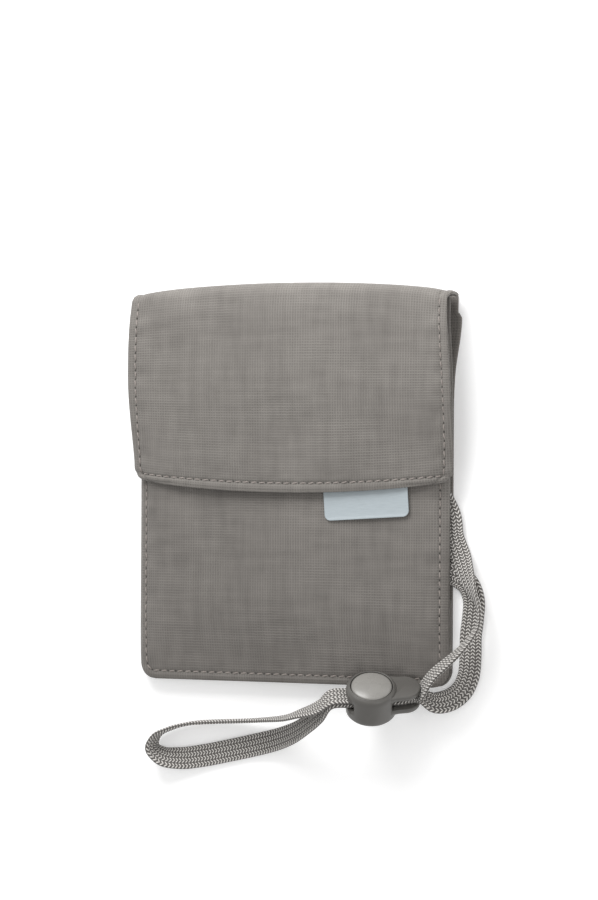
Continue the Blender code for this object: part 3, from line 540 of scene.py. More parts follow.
# %% Even stations along the strap
even = np.linspace(0, measure[-1], int(measure[-1] / 1.15))
centre = np.stack([np.interp(even, measure, line[:, k]) for k in range(3)], -1)
signs = np.sign(np.sum(line[1:, 3:] * line[:-1, 3:], axis=1))
signs = np.concatenate([[1], np.cumprod(np.where(signs == 0, 1, signs))])
sides = np.stack([np.interp(even, measure, line[:, k] * signs) for k in (3, 4, 5)], -1)
ahead = np.gradient(centre, axis=0)
ahead /= np.linalg.norm(ahead, axis=1, keepdims=True)
sides -= ahead * np.sum(sides * ahead, axis=1, keepdims=True)
sides /= np.linalg.norm(sides, axis=1, keepdims=True)
over = np.cross(ahead, sides)


def braid_section(count=25):
    """Half the strap's section, left to right: a thin oval whose upper side rises in four rounded ribs."""
    a = np.linspace(-1, 1, count)
    rib = np.abs(np.sin(2 * np.pi * (a + 1))) ** 0.7
    return a, (1 - np.abs(a) ** 7) ** 0.5 * (0.72 + 0.28 * rib)


across, rise = braid_section()
section_x = np.concatenate([across, across[-2:0:-1]]) * STRAP_WIDE / 2
section_z = np.concatenate([rise, -rise[-2:0:-1]]) * STRAP_THICK / 2
strap_grid = centre[:, None] + sides[:, None] * section_x[:, None] + over[:, None] * section_z[:, None]
n_along, n_round = strap_grid.shape[:2]
strap_faces = grid_faces(n_along, n_round, wrap=True)[:, ::-1]
caps = [list(range(n_round)), list(range((n_along - 1) * n_round, n_along * n_round))[::-1]]
strap_uv = np.stack(np.broadcast_arrays(even[:, None], section_x[None]), -1).reshape(-1, 2)
strap = piece("neck_strap", strap_grid.reshape(-1, 3), list(strap_faces) + caps, braid, "pouch", "strap_web",
              ("strap_run", "strap_hank", "strap_end"), strap_uv)
print("strap has", len(strap.data.polygons), "faces,", round(even[-1], 1), "mm long")

# %% [markdown]
# ## The pouch's front
# The front is a thin pocket of two cloths sewn together round the rim, so it is
# flat in the middle and pinched down at its sides and bottom. The height of its
# face is the flat height minus one smooth drop, made from the fall towards the
# bottom and the pinch at the sides. A groove follows the seam, deeper at each
# stitch, and the folded edge outside it stands up as a soft roll.

# %% The front's height
HALF, LOW, TOP, CORNER = 68.5, -81.1, 81.1, 7.0
FACE = 10.9
SEAM, PUCKER = 3.4, 3.6


def smooth_step(v, low, high):
    """0 below low, 1 above high, 3t^2 - 2t^3 between."""
    t = np.clip((v - low) / (high - low), 0, 1)
    return t * t * (3 - 2 * t)


def slow_waves(x, y, seed, size):
    """Soft unevenness: a sum of six plane sine waves with seeded directions, wavelengths 30 to 90 mm."""
    rng = np.random.default_rng(seed)
    turn_by, length, shift = rng.uniform(0, np.pi, 6), rng.uniform(30, 90, 6), rng.uniform(0, 6.3, 6)
    phase = (x[..., None] * np.cos(turn_by) + y[..., None] * np.sin(turn_by)) * 2 * np.pi / length + shift
    return size * np.sin(phase).mean(-1)


def seam_relief(distance, along, depth=0.42, roll=0.3, seam=SEAM):
    """Height across a topstitched edge: a roll outside the seam and a groove on it, deeper at each stitch."""
    pull = 0.75 + 0.25 * np.cos(2 * np.pi * along / PUCKER)
    groove = depth * pull * np.exp(-(((distance - seam) / 0.75) ** 2))
    edge = roll * np.exp(-(((distance - seam * 0.45) / 1.2) ** 2))
    wave = 0.6 * np.cos(2 * np.pi * along / (PUCKER * 2.4) + 0.7)
    wave = wave + 0.7 * np.cos(2 * np.pi * along / 14.3 + 2.0 * np.sin(along / 23.0))
    tuck = 0.26 * wave * np.exp(-(((distance - seam - 1.8) / 2.4) ** 2))
    return edge - groove + tuck


def rim_distance(x, y, half, low, corner):
    """Distance inside a side or bottom edge, round the corner arc where both are near."""
    dx, dy = half - np.abs(x), y - low
    round_part = corner - np.hypot(np.minimum(dx - corner, 0), np.minimum(dy - corner, 0))
    return np.where((dx < corner) & (dy < corner), round_part, np.minimum(dx, dy))


def front_height(x, y, relief=True):
    """Face of the front: FACE - cube-norm of the bottom fall and the side pinch, plus seam relief and slow waves."""
    fall = 5.5 * (1 - np.sin(np.pi / 2 * np.clip((y - LOW) / 40, 0, 1)))
    pinch = (5.9 - 2.7 * smooth_step(y, 0, 75)) * np.exp(-np.maximum(HALF - np.abs(x), 0) / 7.0)
    height = FACE - (fall**3 + pinch**3) ** (1 / 3)
    if relief:
        d = rim_distance(x, y, HALF, LOW, CORNER)
        height = height + seam_relief(d, np.where(y - LOW < HALF - np.abs(x), x, y))
        height = height + slow_waves(x, y, 5, 0.5) * smooth_step(d, 2, 14)
    return height


def front_grid(half, low, top_of, corner=CORNER, fine=0.42, coarse=1.6, reach=6.5):
    """Points (x, y) that fill the front's outline: columns squeeze inwards round the bottom corners."""
    xs = spread(-1, 1, fine / half, coarse / half, reach / half)
    ys = spread(0, 1, fine / 140, coarse / 140, reach / 140)
    u, t = np.meshgrid(xs, ys)
    y = low + (top_of(half * u) - low) * t
    lift = np.clip(low + corner - y, 0, corner)
    width = half - corner + np.sqrt(np.maximum(corner**2 - lift**2, 0))
    return width * u, y


def mouth_line(x, inset=3.0):
    """The arched upper edge, inset below the top fold."""
    return TOP - inset - 3.5 * (x / HALF) ** 2


def drawn_in(points, at_mouth=3.2):
    """The right side stands further in than a straight seam: x falls by 2.1 mm, and by at_mouth near the mouth."""
    points = np.array(points, float)
    x, y = points[..., 0], points[..., 1]
    points[..., 0] = x - smooth_step(x, 40, 68.5) * (2.1 + (at_mouth - 2.1) * smooth_step(y, 42, 68))
    return points


# %% Sew the front
def front_sheet(name, half, low, top_of, drop, thick, mat, body, slot, node, relief=True):
    """A cloth sheet that lies on the front's surface, drop below its face."""
    x, y = front_grid(half, low, top_of)
    z = front_height(x, y, relief) - drop
    face = np.stack([x, y, z], -1)
    points, faces, uv = sheet_arrays(face, np.full(x.shape, thick), np.stack([x, y], -1))
    return piece(name, drawn_in(points), faces, mat, body, slot, (node,), uv)


TAPE_LOW, TAPE_TOP = 58.1, 67.9
# The front carries painted shade: its cloth is the pouch cloth made about a tenth darker.
front = front_sheet("front_cloth", HALF, LOW, lambda x: TAPE_LOW - 0.3 + 0 * x, 0.0, 0.7,
                    front_shaded_cloth, "pouch", "pouch_cloth", "front_panel")
inner = front_sheet("front_lining", 67.6, LOW + 1.0, lambda x: mouth_line(x, 3.2), 1.15, 0.6,
                    lining, "pouch", "pouch_lining", "front_inner_panel", False)
strip_x, strip_t = np.meshgrid(spread(-HALF, HALF, 0.42, 1.6, 6.5), np.linspace(0, 1, 22))
strip_y = TAPE_TOP + 0.3 + (mouth_line(strip_x) - TAPE_TOP - 0.3) * strip_t
strip_z = front_height(strip_x, strip_y, False) + 0.25 * np.sin(np.pi * strip_t) - 0.1
strip_z += seam_relief(HALF - np.abs(strip_x), strip_y) * 0.8
strip_face = np.stack([strip_x, strip_y, strip_z], -1)
strip_points, strip_faces, strip_uv = sheet_arrays(strip_face, np.full(strip_x.shape, 0.7), strip_face[..., :2])
piece("mouth_strip", drawn_in(strip_points), strip_faces, cloth, "pouch", "pouch_cloth",
      ("front_top_strip",), strip_uv)
edge_height = float(front_height(np.array([68.4]), np.array([0.0]))[0])
print("front:", len(front.data.polygons), "faces, edge height, mm:", round(edge_height, 2))

# %% [markdown]
# ## Back, sides and inner layers
# The rear panel lies on the table and the back panel of the main room lies above
# it; the strap is stowed between them. The sides are strips folded inwards, so
# the pouch can open, and they get taller towards the mouth.


# %% Flat layers
def flat_sheet(name, half, low, top_of, z, thick, mat, slot, nodes, corner=CORNER, sag=0.0, seed=1, flare=0.0):
    """A cloth layer that lies flat, with a rolled edge, slow waves and a slight sag in the middle."""
    x, y = front_grid(half, low, top_of, corner)
    d = np.minimum(rim_distance(x, y, half, low, corner), top_of(x) - y)
    soft = smooth_step(d, 0, 8)
    height = z + slow_waves(x, y, seed, 0.25) * soft - sag * soft + 0.12 * np.exp(-(((d - 1.2) / 0.9) ** 2))
    height -= (thick * 0.4) * np.exp(-d / 0.35)
    under = np.stack([x, y, np.full(x.shape, z - thick) + (thick * 0.35) * np.exp(-d / 0.35)], -1)
    face = np.stack([x, y, height], -1)
    rows, cols = x.shape
    points = np.concatenate([face.reshape(-1, 3), under.reshape(-1, 3)])
    lower = rows * cols
    faces = [grid_faces(rows, cols), grid_faces(rows, cols, lower)[:, ::-1], rim_faces(rows, cols, lower)]
    uv = np.concatenate([np.stack([x, y], -1).reshape(-1, 2)] * 2)
    points = drawn_in(points, 0.4)
    tab = flare * smooth_step(points[:, 1], 30, 66) * (1 - smooth_step(points[:, 1], 67.6, 68.6))
    points[:, 0] += tab * smooth_step(points[:, 0], 55, 68)
    return piece(name, points, np.concatenate(faces), mat, "pouch", slot, nodes, uv)


rear = flat_sheet("rear_cloth", HALF, LOW, lambda x: mouth_line(x, 2.1), 0.8, 0.8,
                  cloth, "pouch_cloth", ("rear_panel",), flare=1.6)
divider = flat_sheet("back_lining", 66.0, LOW + 9.0, lambda x: mouth_line(x, 1.8), 4.2, 0.8,
                     lining, "pouch_lining", ("back_panel",), 6.0, seed=3)


# %% Side folds and rear seams
def side_fold(name, sign, node):
    """A strip folded inwards: a shallow V across, its height growing with the pouch's front."""
    y = spread(LOW + CORNER + 0.3, 73.0, 0.6, 2.0, 6.0)
    t = np.linspace(0, 1, 15)
    top = front_height(np.full(y.shape, HALF - 0.4), y, False) - 1.0
    z = 3.3 + np.maximum(top - 3.3, 0.5)[:, None] * t
    deep = np.maximum(top - 3.3, 0.5)[:, None] * 0.22 * (1 - np.abs(2 * t - 1))
    deep = deep + 0.25 * np.exp(-t / 0.06) + 0.25 * np.exp(-(1 - t) / 0.06)
    stitch_pull = 0.1 * np.cos(2 * np.pi * y / PUCKER)[:, None] * np.exp(-(((t - 0.85) / 0.1) ** 2))
    x = sign * (HALF - 0.15 - deep + stitch_pull)
    face = np.stack([x, np.broadcast_to(y[:, None], z.shape), z], -1)
    if sign > 0:
        face = face[:, ::-1]
    points, faces, uv = sheet_arrays(face, np.full(z.shape, 0.6), np.stack([face[..., 1], face[..., 2]], -1))
    return piece(name, drawn_in(points), faces, cloth, "pouch", "pouch_cloth", (node,), uv)


side_fold("side_fold_left", -1, "gusset_left")
side_fold("side_fold_right", 1, "gusset_right")


def soft_bar(name, low, high, mat, body, slot, nodes, power=5.0, around=20, steps=28, bump=0.0, lift=None):
    """A cloth bar between two corners: a rounded section |a|^p + |b|^p = 1 carried along its longest side."""
    low, high = np.asarray(low, float), np.asarray(high, float)
    middle, half = (low + high) / 2, (high - low) / 2
    order = np.argsort(-half)
    a = np.linspace(0, 2 * np.pi, around, endpoint=False)
    r = (np.abs(np.cos(a)) ** power + np.abs(np.sin(a)) ** power) ** (-1 / power)
    s = np.sin(np.linspace(-1, 1, steps) * np.pi / 2)
    small = half[order[2]] / half[order[0]]
    taper = np.clip((1 - np.abs(s)) / small, 0, 1)
    taper = 0.35 + 0.65 * np.sqrt(1 - (1 - taper) ** 2)
    grid = np.zeros((steps, around, 3))
    grid[..., order[0]] = s[:, None]
    shrink_1 = 1 - (1 - taper) * half[order[2]] / half[order[1]]
    grid[..., order[1]] = np.cos(a) * r * shrink_1[:, None]
    ripple = 1 + bump * np.cos(np.pi * s * half[order[0]] / PUCKER * 2)
    grid[..., order[2]] = np.sin(a) * r * (taper * ripple)[:, None]
    grid = grid * half + middle
    if lift is not None:
        grid[..., 2] += lift(grid[..., 0], grid[..., 1])
    faces = grid_faces(steps, around, wrap=True)
    caps = [list(range(around))[::-1], list(range((steps - 1) * around, steps * around))]
    flat = grid.reshape(-1, 3)
    middle_ring = grid[steps // 2]
    round_way = np.cumsum(np.linalg.norm(np.diff(middle_ring, axis=0, prepend=middle_ring[-1:]), axis=1))
    uv = np.stack(np.broadcast_arrays((s * half[order[0]])[:, None], round_way[None]), -1).reshape(-1, 2)
    flat = drawn_in(flat) if body == "pouch" else flat
    return piece(name, flat, list(faces) + caps, mat, body, slot, nodes, uv)


def node_bar(name, node, mat, body, slot, **more):
    """soft_bar in the box of one model node."""
    low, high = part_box(node)
    return soft_bar(name, np.array(low) / MM, np.array(high) / MM, mat, body, slot, (node,), **more)


seams = [node_bar(n + "_roll", n, cloth, "pouch", "pouch_cloth", bump=0.04, steps=160)
         for n in ("rear_seam_left", "rear_seam_right_low", "rear_seam_right_top", "rear_seam_bottom")]
anchors = [node_bar(n + "_web", n, tape_cloth, "pouch", "strap_web", power=8)
           for n in ("strap_anchor_left", "strap_anchor_right")]
print("rear, divider, 2 folds,", len(seams), "seams and", len(anchors), "anchors")

# %% [markdown]
# ## Flap
# The flap is one cloth with the fold: it starts at the back of the mouth, bends
# over the top edge and lies down over the front. Its profile is a smooth curve
# in the y-z plane; the columns run across it. The blend ends below the drooping
# corners, or they would be left behind.

# %% The flap's cloth
FLAP_HALF, FLAP_END, FLAP_THICK = 69.5, -3.8, 1.2
flap_profile = np.array([
    (0, 79.9, 3.35), (0, 80.7, 4.8), (0, 81.1, 7.0), (0, 81.1, 9.0), (0, 80.8, 10.9), (0, 78.7, 13.4), (0, 73.1, 14.9),
    (0, 59.9, 15.6), (0, 45.4, 15.6), (0, 30.2, 15.2), (0, 13.2, 14.6), (0, -3.8, 13.9),
], float)
fine_line = read_smooth(flap_profile, 30)
walked = np.concatenate([[0], np.cumsum(np.linalg.norm(np.diff(fine_line, axis=0), axis=1))])
far_end = walked[-1]
rows_at = np.concatenate([np.arange(0, 24, 0.75), np.linspace(24, far_end - 7, 50),
                          np.arange(far_end - 6.6, far_end, 0.4), walked[-1:]])
mid_y, mid_z = (np.interp(rows_at, walked, fine_line[:, k])[:, None] for k in (1, 2))
share = np.clip((TOP - mid_y) / (TOP - FLAP_END), 0, 1)
u = spread(-1, 1, 0.4 / FLAP_HALF, 1.6 / FLAP_HALF, 6.5 / FLAP_HALF)[None, ::-1]
flap_y = mid_y - 3.5 * u**2 * (1 - share) + 3.9 * u**2 * share
near = np.clip(FLAP_END + 3.9 + 6.0 - flap_y, 0, 6.0)
flap_half = FLAP_HALF + 0.5 * np.sin(np.pi * share) - 0.9 * (6.0 - np.sqrt(36.0 - near**2))
short = 1.7 * (1 - smooth_step(share, 0.05, 0.6)) * smooth_step(rows_at[:, None], 6, 12)
short = short + 0.6 * smooth_step(share, 0.75, 1)
flap_half = flap_half - short * smooth_step(u, 0.3, 1.0)
flap_base = np.stack([flap_half * u, flap_y, np.broadcast_to(mid_z, flap_y.shape)], -1)
from_side = flap_half * (1 - np.abs(u))
from_low = np.broadcast_to((walked[-1] - rows_at)[:, None], from_side.shape)
droop = 1.2 * (1 - smooth_step(share, 0.05, 0.3)) + 5.2 * smooth_step(share, 0.45, 1.0)
flap_rise = seam_relief(from_side, rows_at[:, None], 0.5, 0.35) - droop * np.exp(-from_side / 8.0)
flap_rise = flap_rise + seam_relief(from_low, flap_half * u, 0.5, 0.35, 3.8)
inside = smooth_step(np.minimum(from_side, from_low), 3, 16) * smooth_step(rows_at[:, None], 4, 20)
flap_rise = flap_rise + slow_waves(flap_half * u, flap_y, 11, 1.1) * inside
flap_normals = surface_normals(flap_base)
flap_face = flap_base + flap_normals * flap_rise[..., None]
flap_uv = np.stack([flap_half * u + 0 * flap_y, np.broadcast_to(-rows_at[:, None], flap_y.shape)], -1)
flap_points, flap_faces, flap_uv = sheet_arrays(flap_face, np.full(flap_y.shape, FLAP_THICK), flap_uv)
outer_count = (flap_y.shape[0] - 1) * (flap_y.shape[1] - 1)
flap_sides = np.zeros(len(flap_faces), int)
flap_sides[outer_count:2 * outer_count] = 1
flap = piece("flap_cloth", flap_points, flap_faces, [cloth, lining], None, "pouch_cloth",
             ("flap_shell", "fold_strip"), flap_uv, sides=flap_sides)
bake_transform(flap)
lowest = float(flap_points[flap_points[:, 1] < 70, 2].min())
print("lowest point of the flap in front of its fold, mm:", round(lowest, 2))
print("flap length along the cloth, mm:", round(walked[-1], 1))

# %% [markdown]
# ## Topstitching
# A stitch is a short thread that rises out of one needle hole and dives into the
# next, so each is a small bent capsule laid on the cloth's surface, turned a few
# degrees off the seam. The same small shape is placed at every stitch by one
# array product: centre + tangent l + sideways w + normal h.


# %% Stitches along a seam
def capsule(length, radius, flat, rings=6, around=6):
    """A bent capsule: rings of radius r sqrt(1 - s^2), its middle standing 0.13 mm above its ends."""
    s = np.sin(np.linspace(-1, 1, rings) * np.pi / 2)
    a = np.linspace(0, 2 * np.pi, around, endpoint=False)
    r = radius * np.sqrt(np.maximum(1 - s**4, 0.02))
    grid = np.stack([np.broadcast_to((s * length / 2)[:, None], (rings, around)), r[:, None] * np.cos(a),
                     r[:, None] * np.sin(a) * flat + 0.16 * (1 - s[:, None] ** 2)], -1)
    faces = [list(f) for f in grid_faces(rings, around, wrap=True)]
    caps = [list(range(around)), list(range((rings - 1) * around, rings * around))]
    return grid.reshape(-1, 3), faces + caps


def at_stitches(path, normals, pitch=PUCKER, skip=0.0):
    """Centres, tangents and normals every pitch along a path (n, 3)."""
    walk = np.concatenate([[0], np.cumsum(np.linalg.norm(np.diff(path, axis=0), axis=1))])
    spots = np.arange(pitch / 2 + skip, walk[-1], pitch)
    tangent = np.gradient(path, axis=0)
    sample = [np.stack([np.interp(spots, walk, values[:, k]) for k in range(3)], -1)
              for values in (path, tangent, normals)]
    t = sample[1] / np.linalg.norm(sample[1], axis=1, keepdims=True)
    n = sample[2] - t * np.sum(sample[2] * t, axis=1, keepdims=True)
    return sample[0], t, n / np.linalg.norm(n, axis=1, keepdims=True)


def place_many(template, faces, centres, tangents, normals, slant=0.0, lift=0.0, seed=4):
    """Copies of a small shape at all centres, each with a slightly different turn."""
    rng = np.random.default_rng(seed)
    turn_by = np.radians(slant + rng.normal(0, 3.0, len(centres)))[:, None]
    side = np.cross(normals, tangents)
    t = tangents * np.cos(turn_by) + side * np.sin(turn_by)
    w = np.cross(normals, t)
    grid = centres[:, None] + t[:, None] * template[None, :, :1] + w[:, None] * template[None, :, 1:2]
    grid = grid + normals[:, None] * (template[None, :, 2:3] + lift)
    step = len(template)
    all_faces = [[i + k * step for i in f] for k in range(len(centres)) for f in faces]
    return grid.reshape(-1, 3), all_faces


# Painted shadow: the needle holes are shown by small near-black capsules where the thread dives into the cloth.
needle_shadow_mat, needle_shadow_tree, needle_shadow_shader = new_material("needle hole", 0.9)
needle_shadow_where = needle_shadow_tree.nodes.new("ShaderNodeTexCoord").outputs["Object"]
needle_shadow_tone = noise(needle_shadow_tree, needle_shadow_where, 900.0)
needle_shadow_colour = ramp(needle_shadow_tree, needle_shadow_tone, (0.030, 0.027, 0.024), (0.09, 0.082, 0.075))
needle_shadow_tree.links.new(needle_shadow_colour, needle_shadow_shader.inputs["Base Color"])


def sew(name, seam_list, body):
    """Stitches and, between them, small dark capsules of painted shadow at the needle holes, for several (path,
    normals) seams.
    """
    stitch, stitch_faces = capsule(2.45, 0.30, 0.75)
    hole, hole_shadow_faces = capsule(0.85, 0.34, 0.25, 4, 6)
    made = []
    for title, template, faces, mat, skip, slant, lift in (
        ("stitches", stitch, stitch_faces, thread, 0.0, 9.0, 0.06),
        # small dark capsules at the needle holes: painted shadow
        ("hole_shadows", hole, hole_shadow_faces, needle_shadow_mat, PUCKER / 2, 0.0, -0.04),
    ):
        points, all_faces = [], []
        for path, normals in seam_list:
            spots = at_stitches(path, normals, skip=skip)
            grid, quads = place_many(template, faces, *spots, slant=slant, lift=lift)
            offset = sum(len(p) for p in points)
            points.append(grid)
            all_faces += [[i + offset for i in q] for q in quads]
        made.append(piece(name + "_" + title, np.concatenate(points), all_faces, mat, body, "pouch_cloth"))
    return made


def height_path(x, y, height):
    """A path on a height surface and its normals, from two small differences."""
    z = height(x, y)
    gx = (height(x + 0.3, y) - height(x - 0.3, y)) / 0.6
    gy = (height(x, y + 0.3) - height(x, y - 0.3)) / 0.6
    n = np.stack([-gx, -gy, np.ones_like(gx)], -1)
    return np.stack([x, y, z], -1), n / np.linalg.norm(n, axis=1, keepdims=True)


def rounded_u(half, low, corner, top, step=0.6):
    """A U-shaped path inside the side and bottom edges, with round corners."""
    down = np.arange(top, low + corner, -step)
    a = np.linspace(np.pi, 1.5 * np.pi, 9)
    left = np.stack([np.full(down.shape, -half), down], -1)
    turn_left = np.stack([-half + corner + corner * np.cos(a), low + corner + corner * np.sin(a)], -1)
    across_x = np.arange(-half + corner + step, half - corner, step)
    floor_line = np.stack([across_x, np.full(across_x.shape, low)], -1)
    both = np.concatenate([left, turn_left])
    mirrored = both[::-1] * (-1, 1)
    return np.concatenate([both, floor_line, mirrored])


# %% Sew the front and the flap
u_path = rounded_u(HALF - SEAM, LOW + SEAM, CORNER - SEAM, 57.0)
zip_x = np.arange(-65.0, 65.0, 0.6)
front_seams = [height_path(u_path[:, 0], u_path[:, 1], front_height)]
front_seams.append(height_path(zip_x, np.full(zip_x.shape, TAPE_LOW - 1.9), front_height))
front_seams = [(drawn_in(path), normals) for path, normals in front_seams]
front_stitches = sew("front", front_seams, "pouch")
strip_row = 3
strip_normals = surface_normals(strip_face)
strip_seam = (drawn_in(strip_face[strip_row, 4:-4]), strip_normals[strip_row, 4:-4])
strip_stitches = sew("mouth", [strip_seam], "pouch")
flap_normals = surface_normals(flap_face)
col_a = int(np.argmin(np.abs(FLAP_HALF * (1 - u[0]) - SEAM)))
col_b = u.shape[1] - 1 - col_a
row_low = int(np.argmin(np.abs(walked[-1] - rows_at - 3.8)))
row_top = int(np.argmin(np.abs(rows_at - 13.0)))
flap_seams = [(flap_face[row_top:row_low, c], flap_normals[row_top:row_low, c]) for c in (col_a, col_b)]
flap_seams.append((flap_face[row_low, col_a:col_b + 1], flap_normals[row_low, col_a:col_b + 1]))
flap_stitches = sew("flap", flap_seams, "flap")
print("stitch faces:", sum(len(o.data.polygons) for o in front_stitches + strip_stitches + flap_stitches))

# %% [markdown]
# ## Label and fastener
# The label is a woven strip folded in two and sewn under the flap's edge, so it
# hangs free in front of the pouch. It stays blank. The hook and loop patches are
# thin pads with a pile.


# %% Label
def label_sheet():
    """A thin strip turned 3.6 degrees: rounded lower corners, a soft bow along it and a curl at its lower edge."""
    half, high, corner = 18.0, 16.4, 2.5
    a, b = np.meshgrid(spread(-1, 1, 0.3 / half, 1.0 / half, 3 / half),
                       spread(0, 1, 0.3 / high, 0.7 / high, 3 / high))
    lift = np.clip(corner - b * high, 0, corner)
    x = (half - corner + np.sqrt(np.maximum(corner**2 - lift**2, 0))) * a
    y = b * high - 14.0
    d = np.minimum(half - np.abs(half * a), b * high)
    z = 11.95 + 0.22 * np.cos(np.pi * x / 26) - 0.35 * (1 - b) + 0.30 * np.exp(-b * high / 1.6)
    z += 0.07 * np.exp(-(((d - 0.5) / 0.4) ** 2)) - 0.05 * np.exp(-(((b * high - 12.4) / 0.35) ** 2))
    c, s = math.cos(math.radians(3.6)), math.sin(math.radians(3.6))
    face = np.stack([32.8 + x * c - y * s, x * s + y * c, z], -1)
    points, faces, uv = sheet_arrays(face, np.full(z.shape, 0.45), np.stack([x, b * high], -1))
    return piece("label_satin", points, faces, satin, "flap", "label_cloth", ("label_tab",), uv)


label = label_sheet()
node_bar("loop_pad", "loop_patch", pile, "pouch", "loop_pile", power=9, around=32, steps=40)
hook_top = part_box("hook_patch")[1][2] / MM


def under_flap(x, y):
    """How far the hook pad rises to lie on the flap's lining: lining height minus the pad's top."""
    lining_z = (flap_face - flap_normals * FLAP_THICK)[row_top:, ::4]
    far = np.hypot(lining_z[..., 0, None] - x.ravel(), lining_z[..., 1, None] - y.ravel()).reshape(-1, x.size)
    return lining_z[..., 2].ravel()[np.argmin(far, axis=0)].reshape(x.shape) - hook_top - 0.12


hook_pad = node_bar("hook_pad", "hook_patch", pile, "flap", "hook_tape", power=9, around=32, steps=40,
                    lift=under_flap)
print("hook pad rises, mm:", round(float(under_flap(np.zeros(1), np.full(1, 15.0))[0]), 2))

# %% [markdown]
# ## Zip
# The zip lies between the front and the strip above it, under the flap. Its two
# tapes follow the front's surface, and the teeth are two rows of small blocks
# that mesh half a step apart.


# %% Zip tapes and teeth
def tape(name, low, high, node):
    """A flat woven tape that follows the front, 0.75 mm below its face."""
    x, t = np.meshgrid(np.linspace(-64.5, 64.5, 130), np.linspace(0, 1, 9))
    y = low + (high - low) * t
    face = np.stack([x, y, front_height(x, y, False) - 0.75], -1)
    points, faces, uv = sheet_arrays(face, np.full(x.shape, 0.3), face[..., :2])
    return piece(name, drawn_in(points), faces, tape_cloth, "pouch", "zip_tape", (node,), uv)


def zip_row():
    """Both rows of teeth: a rounded block at every step, the rows half a step apart."""
    a = np.linspace(0, 2 * np.pi, 8, endpoint=False)
    ring = np.stack([0.42 * np.cos(a), 0.36 * np.sin(a)], -1)
    grid = np.concatenate([np.stack([ring[:, 0] * k, np.full(8, w), ring[:, 1] * k], -1)
                           for w, k in ((-0.80, 0.7), (-0.62, 1.0), (0.35, 1.0), (0.62, 0.75))])
    faces = [list(f) for f in grid_faces(4, 8, wrap=True)] + [list(range(8)), list(range(24, 32))]
    pitch = 1.3
    xs = np.arange(-60.2, 60.3, pitch)
    x = np.concatenate([xs, xs[:-1] + pitch / 2])
    sign = np.concatenate([np.ones(len(xs)), -np.ones(len(xs) - 1)])
    y = 63.0 - 0.42 * sign
    z = front_height(x, y, False) - 0.40
    centre_at = np.stack([x, y, z], -1)
    turned = grid[None] * np.stack([np.ones_like(sign), sign, np.ones_like(sign)], -1)[:, None]
    points = (centre_at[:, None] + turned).reshape(-1, 3)
    all_faces = [[i + k * len(grid) for i in f] for k in range(len(x)) for f in faces]
    return piece("zip_teeth_rows", drawn_in(points), all_faces, zip_plastic, "pouch", "zip_plastic",
                 ("zip_teeth",))


def on_front(x, y):
    """How far the front's surface lies above or below FACE."""
    return front_height(x, y, False) - FACE


tape("zip_tape_low_cloth", 57.6, 62.3, "zip_tape_lower")
tape("zip_tape_up_cloth", 63.7, 68.4, "zip_tape_upper")
teeth = zip_row()
for stop in ("zip_stop_left", "zip_stop_right"):
    node_bar(stop + "_clip", stop, zip_metal, "pouch", "zip_metal", power=6, lift=on_front)
print("zip teeth:", len(teeth.data.polygons), "faces")


# %% [markdown]
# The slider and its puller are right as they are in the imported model, apart from
# their sharp edges. A copy of each is merged into whole faces and a Bevel
# modifier rounds it.


# %% Soften hard parts
def softened(name, node, mat, width, body):
    """A copy of a model node, its doubles merged and flat triangles joined, with its sharp edges bevelled."""
    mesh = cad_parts[node].data.copy()
    shell = bmesh.new()
    shell.from_mesh(mesh)
    bmesh.ops.remove_doubles(shell, verts=shell.verts, dist=1e-6)
    bmesh.ops.dissolve_limit(shell, angle_limit=math.radians(1.0), verts=shell.verts, edges=shell.edges)
    shell.to_mesh(mesh)
    shell.free()
    mesh.materials.clear()
    mesh.materials.append(mat)
    mesh.polygons.foreach_set("use_smooth", [True] * len(mesh.polygons))
    obj = bpy.data.objects.new(name, mesh)
    bpy.context.collection.objects.link(obj)
    edge = obj.modifiers.new("soft edges", "BEVEL")
    edge.width, edge.segments, edge.limit_method, edge.angle_limit = width * MM, 3, "ANGLE", math.radians(30)
    edge.harden_normals = False
    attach(obj, body)
    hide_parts(node)
    return obj


softened("slider_body", "zip_slider", zip_metal, 0.22, "slider")
softened("puller_plate", "zip_puller", zip_metal, 0.25, "puller")

# %% [markdown]
# ## Cord lock
# The lock is a short barrel with a spring button in its top and two ears that
# guide the strands. The barrel is a turned wall with a slot on both sides: its
# outer and inner skins are two grids with the same columns, the faces inside the
# slots are left out, and their edges are joined. The columns are spaced so that
# the slot's sides fall at the same width on both skins.


# %% Lock helpers
def lock_to_world(local):
    """Points in the lock's own axes (strands, across, axis) to the model's."""
    return lock_at + local @ np.stack([lock_run, lock_side, lock_axis])


def column_angles(radius, half_slot, open_cols=18, wall_cols=30):
    """Angles round the barrel, with columns exactly at the slot's sides."""
    a = math.asin(half_slot / radius)
    knots = [-a, a, math.pi - a, math.pi + a, 2 * math.pi - a]
    counts = [open_cols, wall_cols, open_cols, wall_cols]
    spans = zip(knots[:-1], knots[1:], counts)
    return np.concatenate([np.linspace(p, q, n, endpoint=False) for p, q, n in spans])


